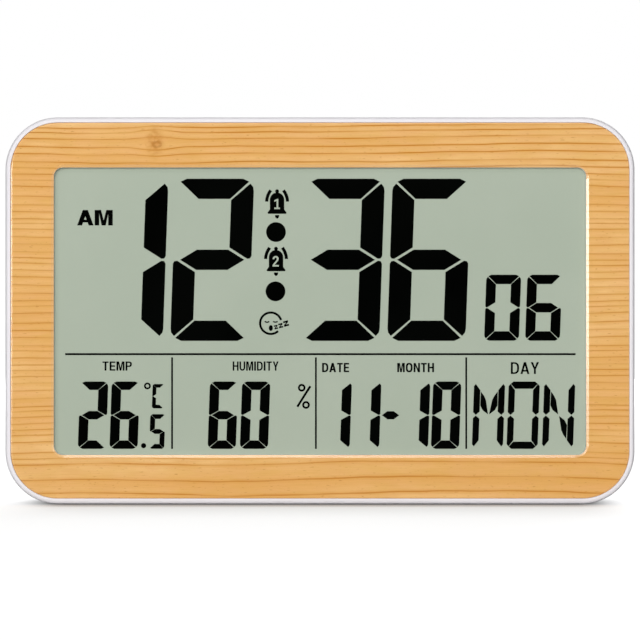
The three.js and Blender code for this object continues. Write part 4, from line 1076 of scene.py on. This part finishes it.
def bell(name, x, bottom, figure):
    """An alarm bell with ringing arcs, its figure left clear."""
    body_half, flare_half, shoulder_z = 2.46, 3.26, 4.84
    knob_radius, knob_z = 0.66, 7.75
    side = [(3.05, 0), (flare_half, 0.25), (flare_half - 0.03, 0.5), (body_half, 1.51)]
    for radius, z, angles in (
        (body_half, shoulder_z, range(0, 80, 8)),
        (knob_radius, knob_z, range(-50, 91, 20)),
    ):
        turns = [math.radians(angle) for angle in angles]
        side += [(radius * math.cos(turn), z + radius * math.sin(turn)) for turn in turns]
    outline = side + mirrored(side, 0)[::-1]
    half_turn = [math.pi * step / 16 for step in range(17)]
    clapper = [(0.75 * math.cos(turn), -0.42 - 1.22 * math.sin(turn)) for turn in half_turn]
    left_arc = arc_band(3.09, 3.97, 6.67, 1.1, 142, 178)
    strokes = [outline, bleed(BELL_FIGURES[figure], -0.05), clapper, left_arc, mirrored(left_arc, 0)]
    printed(name, [moved(stroke, x, bottom) for stroke in strokes])


def snooze_face():
    """A sleeping face in a ring left open for three rising letters."""
    strokes = [arc_band(0, 0, 3.68, 0.78, 17, 313)]
    strokes += [arc_band(-1.28, 1.4, 1.05, 0.46, 222, 314), arc_band(1.56, 1.9, 1.5, 0.44, 238, 302)]
    strokes.append(ellipse(0, -1.65, 0.72, 1.0))
    turn = math.radians(15)
    for centre_x, centre_z, tall in ((1.78, -1.32, 1.4), (3.42, -0.80, 1.6), (5.24, -0.10, 1.9)):
        wide, stroke = 0.92 * tall, 0.33 * tall
        letter = [
            (0, tall), (wide, tall), (wide, tall - stroke), (1.15 * stroke, stroke), (wide, stroke),
            (wide, 0), (0, 0), (0, stroke), (wide - 1.15 * stroke, tall - stroke), (0, tall - stroke),
        ]
        turned = [
            (u * math.cos(turn) - v * math.sin(turn), u * math.sin(turn) + v * math.cos(turn))
            for u, v in moved(letter, -wide / 2, -tall / 2)
        ]
        strokes.append(moved(turned, centre_x, centre_z))
    printed("snooze_sign", [moved(stroke, -16.91, 61.98) for stroke in strokes])


# Back: cover, stand, battery door, keys and their legends

def back_cover():
    cover = moulding("rear_cover", "back_cover", edge_round=0.2, has_case_corners=True)
    smooth(cover)
    settle(cover, "case", "case_plastic", white_back, stands_for=["rear_cover"])


def grip_grooves(piece, x, half, face, radius, heights):
    """Cuts round-bottomed finger grooves across a face."""
    depth = face + 0.1
    ends = [((x - half, depth, z), (x + half, depth, z)) for z in heights]
    carve(piece, *[round_bar("grip_cutter", radius, start, end, 24) for start, end in ends])


def stand():
    leg = moulding("stand_leg", "fold_out_stand", edge_round=0.25)
    grip_grooves(leg, x=0, half=12, face=STAND_FACE, radius=0.8, heights=(16.8, 19.8, 22.8))
    smooth(leg)
    settle(leg, "stand", "case_plastic", white_door, stands_for=["stand_leg"])


def battery_door():
    door = moulding("battery_door", "battery_lid", edge_round=0.2)
    grip_grooves(door, x=62, half=5.5, face=DOOR_FACE, radius=0.7, heights=(55.4, 53.0, 50.6))
    smooth(door)
    settle(door, "door", "case_plastic", white_door, stands_for=["battery_door"])


def keycaps():
    """One cap modelled at the middle of the back, then set over each plunger."""
    foot, top, near_top = 8.5, 12.8, 12.7
    sides, heights, radius = (-5.5, 5.5), (-3.25, 3.25), 3.15
    cap = rounded_slab("keycap", sides, heights, radius, (foot, top), SMALL_CORNER_STEPS)
    soften(cap, 0.6, 4, lambda at: at.y > near_top)
    edit(cap)
    choose(cap, "FACE", lambda at, face: face.normal.y > SQUARE_ON and at.y > near_top)
    inset(0.9)
    inset(0.9, -0.12)
    done()
    sides, heights, radius = grown(sides, 1), grown(heights, 1), radius + 1
    flange = rounded_slab("flange", sides, heights, radius, (foot, foot + 1), SMALL_CORNER_STEPS)
    stem = round_bar("stem", 2.2, (0, 2.2, 0), (0, 9.0, 0), 24)
    weld(cap, flange, stem)
    smooth(cap)
    for name, (x, z, _) in KEYS.items():
        key = copy_of(cap, name + "_keycap", in_metres(x, 0, z))
        settle(key, name + "_button", "key_plastic", key_white, stands_for=[name + "_key"])
    bpy.data.objects.remove(cap)


def legend(name, text, x, bottom):
    """A key's name, fitted to a box on the floor of the key bay and read from behind."""
    none_chosen()
    bpy.ops.object.text_add()
    writing = bpy.context.object.data
    writing.body = text
    writing.extrude = INK / 2
    writing.offset = LEGEND_WEIGHT
    piece = as_mesh(bpy.context.object)
    points = [vertex.co for vertex in piece.data.vertices]
    low = Vector(map(min, zip(*points)))
    high = Vector(map(max, zip(*points)))
    wide = LEGEND_LETTER_WIDTH * len(text) / (high.x - low.x) * MM
    tall = LEGEND_HEIGHT / (high.y - low.y) * MM
    fit = Matrix.Diagonal((wide, tall, MM, 1)) @ Matrix.Translation((-(low.x + high.x) / 2, -low.y, 0))
    piece.data.transform(fit)
    return lay_ink(piece, name, (x, BAY_FLOOR + INK / 2, bottom), turn=math.pi)


def key_legends():
    made = [legend("legend_" + name, text, x, z + LEGEND_RISE) for name, (x, z, text) in KEYS.items()]
    settle(join("key_legends", made), "case", "clamp_plastic", legend_ink)


def cross_screw(name, radius, length, head_radius, head_height):
    """A pan-head screw, modelled with its head's seat at the middle of the frame."""
    near, point_share = 0.01, 0.2
    screw = round_bar(name, head_radius, (0, 0, 0), (0, head_height, 0), 32)
    soften(screw, 0.45 * head_height, 5, lambda at: at.y > head_height - near)
    edit(screw)
    choose(screw, "FACE", lambda at, face: face.normal.y < -SQUARE_ON)
    inset(head_radius - radius)
    draw_out(0, radius - length, 0)
    draw_out(0, -radius, 0)
    centre = (0, -length * MM, 0)
    bpy.ops.transform.resize(value=(point_share, 1, point_share), center_override=centre)
    done()
    reach, half, depth = 0.58 * head_radius, 0.13 * head_radius, 0.6 * head_height
    past = (head_height - depth, head_height + 1)
    carve(
        screw,
        rounded_slab("cross_cutter", (-reach, reach), (-half, half), 0, past),
        rounded_slab("cross_cutter", (-half, half), (-reach, reach), 0, past),
    )
    smooth(screw)
    return screw


def screws():
    """Each kind of screw modelled once, then set in its holes, each turned its own way."""
    sizes = {"case_screw": (1.25, 10, 2.5, 1.8), "clamp_screw": (0.9, 3.6, 1.8, 1.2)}
    sizes["board_screw"] = sizes["clamp_screw"]
    first_turn, next_turn = 0.3, 0.7
    for kind, (radius, length, head_radius, head_height) in sizes.items():
        model = cross_screw(kind + "_model", radius, length, head_radius, head_height)
        for index, node in enumerate(sorted(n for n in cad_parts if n.startswith(kind))):
            low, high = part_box(node)
            place = ((low.x + high.x) / 2, high.y - head_height * MM, (low.z + high.z) / 2)
            screw = copy_of(model, "cross_" + node, place, next_turn * index + first_turn)
            settle(screw, "case", "steel", zinc_steel, stands_for=[node])
        bpy.data.objects.remove(model)


# Battery compartment: cells, contacts, leads

def cell(name, node, foot_x, heading, z):
    """One cell lying along X: a jacket rolled over at its ends, a bare foot and a nub."""
    shoulder_x = foot_x + heading * CELL_BODY_LENGTH
    nub, bare_radius, near_axis = 0.95, 3.9, 0.1

    def from_axis(at):
        return math.hypot(at.y - CELL_DEPTH, at.z - z)

    body = round_bar(name, CELL_RADIUS, (foot_x, CELL_DEPTH, z), (shoulder_x, CELL_DEPTH, z), 48)
    soften(body, 0.6, 4)
    edit(body)
    choose(body, "FACE", lambda at, face: abs(face.normal.x) > SQUARE_ON)
    inset(0.7)
    inset(0.12, -0.15)
    choose(body, "FACE", lambda at, face: face.normal.x * heading > SQUARE_ON and from_axis(at) < near_axis)
    inset(1.9)
    draw_out(heading * nub, 0, 0)
    done()
    smooth(body)
    settle(body, "case", "cell_jacket", cell_jacket_finish, cell_metal, stands_for=[node])
    for face in body.data.polygons:
        face.material_index = 1 if from_axis(face.center / MM) < bare_radius else 0


def spring(name, start_x, heading, z):
    """A tapering coil of wire along X."""
    turns, steps, reach = 3, 32, 4.15
    wide, narrow = 3.6, 2.2
    coil = wire(name, 0.35)
    line = coil.splines.new("POLY")
    count = turns * steps
    line.points.add(count)
    for step, point in enumerate(line.points):
        share = step / count
        angle = share * turns * 2 * math.pi
        radius = wide + (narrow - wide) * share
        x = start_x + heading * share * reach
        at = Vector((x, CELL_DEPTH + radius * math.cos(angle), z + heading * radius * math.sin(angle)))
        point.co = (*(at * MM), 1)
    return as_mesh(added(name, coil))


def contact_plate(name, wall, heading, heights):
    """A sprung plate that stands against an end wall of the compartment."""
    near, far = wall + heading * CONTACT_GAP, wall + heading * (CONTACT_GAP + CONTACT_SHEET)
    centre = ((near + far) / 2, CELL_DEPTH, (heights[0] + heights[1]) / 2)
    plate = block(name, centre, (CONTACT_SHEET, 2 * CONTACT_HALF, length_of(heights)))
    round_edges(plate, 1.0, 4, lambda at, edge: runs_along(edge, 0))
    soften(plate, 0.06, 2)
    return plate


def runs_along(edge, axis):
    """Whether an edge goes through the sheet of a contact along an axis."""
    start, end = edge.verts
    return abs(start.co[axis] - end.co[axis]) > CONTACT_SHEET / 2 * MM


def contact_button(wall, heading, z):
    foot, near_top, top = 0.3, 1.2, 1.3
    ends = [(wall + heading * reach, CELL_DEPTH, z) for reach in (foot, top)]
    button = round_bar("contact_button", 2.0, *ends)
    soften(button, 0.6, 4, lambda at: (at.x - wall) * heading > near_top)
    return button


def contact_tag(z):
    """The tag that a lead is soldered to, rounded at its free end."""
    middle_x, length, width = 34.5, 5.0, 2.5
    near_end = 32.1
    tag = block("contact_tag", (middle_x, TAG_DEPTH, z), (length, CONTACT_SHEET, width))
    round_edges(tag, 0.8, 4, lambda at, edge: at.x < near_end and runs_along(edge, 1))
    return tag


def contacts():
    upper, lower = (grown((z, z), CONTACT_HALF) for z in (UPPER_CELL_Z, LOWER_CELL_Z))
    plate = CONTACT_GAP + CONTACT_SHEET
    plus = contact_plate("plus_contact", TUB_LEFT, 1, upper)
    weld(plus, contact_button(TUB_LEFT, 1, UPPER_CELL_Z), contact_tag(UPPER_CELL_Z))
    minus = contact_plate("minus_contact", TUB_LEFT, 1, lower)
    weld(minus, contact_tag(LOWER_CELL_Z))
    minus = join("minus_contact", [minus, spring("minus_coil", TUB_LEFT + plate, 1, LOWER_CELL_Z)])
    link = contact_plate("link_contact", TUB_RIGHT, -1, (lower[0], upper[1]))
    weld(link, contact_button(TUB_RIGHT, -1, LOWER_CELL_Z))
    link = join("link_contact", [link, spring("link_coil", TUB_RIGHT - plate, -1, UPPER_CELL_Z)])
    for contact, kind in ((plus, "positive"), (minus, "negative"), (link, "link")):
        smooth(contact)
        settle(contact, "case", "spring_steel", nickel_spring, stands_for=[f"battery_{kind}_contact"])


def lead(name, node, points, finish, slot):
    """A short insulated lead inside the case, along its route."""
    line = wire(name, 0.6)
    route = line.splines.new("BEZIER")
    route.bezier_points.add(len(points) - 1)
    for knot, at in zip(route.bezier_points, points):
        knot.co = Vector(at) * MM
        knot.handle_left_type = knot.handle_right_type = "AUTO"
    made = as_mesh(added(name, line))
    smooth(made, degrees=60)
    settle(made, "case", slot, finish, stands_for=[node])


def leads():
    pad = -2.7
    battery = (("red", red_sleeve, UPPER_CELL_Z, 70.4), ("black", black_sleeve, LOWER_CELL_Z, 53.6))
    for colour, finish, z, pad_z in battery:
        points = [(31.7, TAG_DEPTH, z), (26, TAG_DEPTH, z)]
        points += [(16, 1.05, pad_z), (11, -0.45, pad_z), (11, pad, pad_z)]
        lead(colour + "_battery_lead", "battery_wire_" + colour, points, finish, colour + "_wire")
    disc_z, pad_z = 106.7, 78.5
    buzzer = (("red", red_sleeve, -59.5, -33.0), ("black", black_sleeve, -64.5, -38.0))
    for colour, finish, x, pad_x in buzzer:
        points = [(x, 8.05, disc_z), (x, 5.05, disc_z), (pad_x, 3.05, 92.6)]
        points += [(pad_x, 1.3, pad_z), (pad_x, pad, pad_z)]
        lead(colour + "_buzzer_lead", "buzzer_wire_" + colour, points, finish, colour + "_wire")


def inner_pieces():
    """Finishes for the solids that keep their own shape."""
    finishes = {
        "lcd_front_polariser": display_film(),
        "lcd_front_glass": clear_glass_finish,
        "lcd_rear_glass": clear_glass_finish,
        "lcd_reflector": silver_film,
        "lcd_clamp_frame": grey_frame,
        "contact_strip": contact_stripes(),
        "circuit_board": board_green(),
        "chip_cover": black_body,
        "timing_crystal": crystal_can,
        "smoothing_capacitor": capacitor_sleeve,
        "humidity_sensor": sensor_blue,
        "temperature_sensor": black_body,
        "buzzer_disc": buzzer_brass,
    }
    for name in KEYS:
        finishes[name + "_switch"] = black_body
        finishes[name + "_plunger"] = plunger_black
    for node, finish in finishes.items():
        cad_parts[node].material_slots[0].material = finish


# Studio: camera square to the face, soft light from the upper left, white surround

def lamp(name, place, size, power, tall=None):
    """A soft lamp, round or with its own height, aimed at the middle of the clock."""
    light = bpy.data.lights.new(name, "AREA")
    light.shape = "RECTANGLE" if tall else "DISK"
    light.size = size
    light.size_y = tall or size
    light.energy = power
    made = added(name, light)
    made.location = place
    aim = Vector((0, 0, 0.066)) - Vector(place)
    made.rotation_euler = aim.to_track_quat("-Z", "Y").to_euler()


def seen_directly(tree):
    """1 for what the camera sees itself, in a mirror or through glass."""
    path = tree.nodes.new("ShaderNodeLightPath")
    seen = path.outputs["Is Camera Ray"]
    for ray in ("Is Glossy Ray", "Is Transmission Ray"):
        either = tree.nodes.new("ShaderNodeMath")
        either.operation = "MAXIMUM"
        tree.links.new(seen, either.inputs[0])
        tree.links.new(path.outputs[ray], either.inputs[1])
        seen = either.outputs[0]
    return seen


def shown(tree, as_light, as_seen):
    """One shader for the light that a surface gives, another for what is seen of it."""
    choice = tree.nodes.new("ShaderNodeMixShader")
    for socket, source in zip(choice.inputs, (seen_directly(tree), as_light, as_seen)):
        tree.links.new(source, socket)
    return choice.outputs[0]


def pale_floor():
    """A pale floor that keeps the clock's real shadow in its matt part and otherwise reads as white, near and
    far; its glow carries a painted contact shadow, taken away by ambient occlusion round the clock's foot.
    """
    finish = Finish("pale_floor")
    nodes, links = finish.tree.nodes, finish.tree.links
    nodes.remove(finish.shader)
    grain = finish.noise([0.02] * 3, detail=2)
    grey = finish.mix(grain, rgb(0.41, 0.41, 0.41), rgb(0.43, 0.43, 0.43))
    matt = finish.node("BsdfDiffuse", {"Color": grey}).outputs[0]

    # Painted contact shadow: ambient occlusion at two reaches dims the floor's glow under and in front of the
    # clock.
    contact, around = (
        finish.node("AmbientOcclusion", {"Distance": reach}, samples=16).outputs["AO"]
        for reach in (0.015, 0.07)
    )
    painted_shadow_spread = finish.reckon("ADD", finish.times(around, 0.7), 0.3)
    painted_shadow = finish.less(1.0, finish.times(finish.reckon("POWER", contact, 2.2), painted_shadow_spread))
    # The painted shadow fades out past the ends of the case's straight foot.
    sideways = finish.node("SeparateXYZ", {"Vector": finish.place}).outputs["X"]
    painted_shadow_fade = finish.remap(finish.reckon("ABSOLUTE", sideways), 0.087, 0.108, 1.0, 0.0)
    painted_shadow = finish.times(painted_shadow, painted_shadow_fade)
    # Glow that evens the floor to white, weaker near the clock where the lamps light it more, then dimmed by
    # the painted shadow.
    away = finish.node("VectorMath", {0: finish.place}, operation="LENGTH").outputs["Value"]
    lift = finish.times(finish.remap(away, 0.15, 2.0, 0.81, 0.95), finish.less(1.0, painted_shadow))
    glow = finish.node("Emission", {"Strength": lift}).outputs[0]
    both = finish.node("AddShader", {0: matt, 1: glow}).outputs[0]
    links.new(shown(finish.tree, matt, both), nodes["Material Output"].inputs["Surface"])
    return finish.material


def studio():
    scene = bpy.context.scene
    scene.view_settings.view_transform = "Standard"
    lens = bpy.data.cameras.new("camera")
    lens.sensor_width = 36
    lens.lens = 147.7
    lens.clip_end = 20
    scene.camera = added("camera", lens)
    scene.camera.location = (0, -0.913, 0.0631)
    scene.camera.rotation_euler = (QUARTER_TURN, 0, 0)

    lamp("key", (-0.3, -2.6, 0.5), size=1.1, power=40.5)
    lamp("left_strip", (-1.26, -1.74, 0.17), size=0.3, power=6.0, tall=0.4)
    lamp("top_strip", (0.0, -1.67, 1.45), size=0.9, power=4.2, tall=0.25)
    lamp("fill", (0.7, -2.5, 0.3), size=1.0, power=4.0)
    lamp("overhead", (0.0, 0.8, 1.3), size=0.7, power=4.0)
    lamp("back", (0.5, 1.7, 0.6), size=1.1, power=27.0)

    world = bpy.data.worlds.new("surround")
    world.use_nodes = True
    scene.world = world
    tree = world.node_tree
    soft, white = tree.nodes["Background"], tree.nodes.new("ShaderNodeBackground")
    for surround, colour, strength in ((soft, (0.97, 0.98, 1.0), 0.14), (white, (1, 1, 1), 1.0)):
        surround.inputs["Color"].default_value = rgb(*colour)
        surround.inputs["Strength"].default_value = strength
    surface = tree.nodes["World Output"].inputs["Surface"]
    tree.links.new(shown(tree, soft.outputs[0], white.outputs[0]), surface)

    none_chosen()
    bpy.ops.mesh.primitive_plane_add(size=8, location=(0, 0, -0.2 * MM))
    floor = fresh("floor")
    floor.data.materials.append(pale_floor())


studio()
front_case()
wood_panel()
time_and_seconds()
lower_readings()
weekday()
rules()
labels()
bell("alarm_bell_one", -14.75, 99.59, "1")
bell("alarm_bell_two", -15.12, 79.86, "2")
snooze_face()
back_cover()
stand()
battery_door()
keycaps()
key_legends()
screws()
cell("upper_cell", "battery_upper", 82.4, -1, UPPER_CELL_Z)
cell("lower_cell", "battery_lower", 41.6, 1, LOWER_CELL_Z)
contacts()
leads()
inner_pieces()
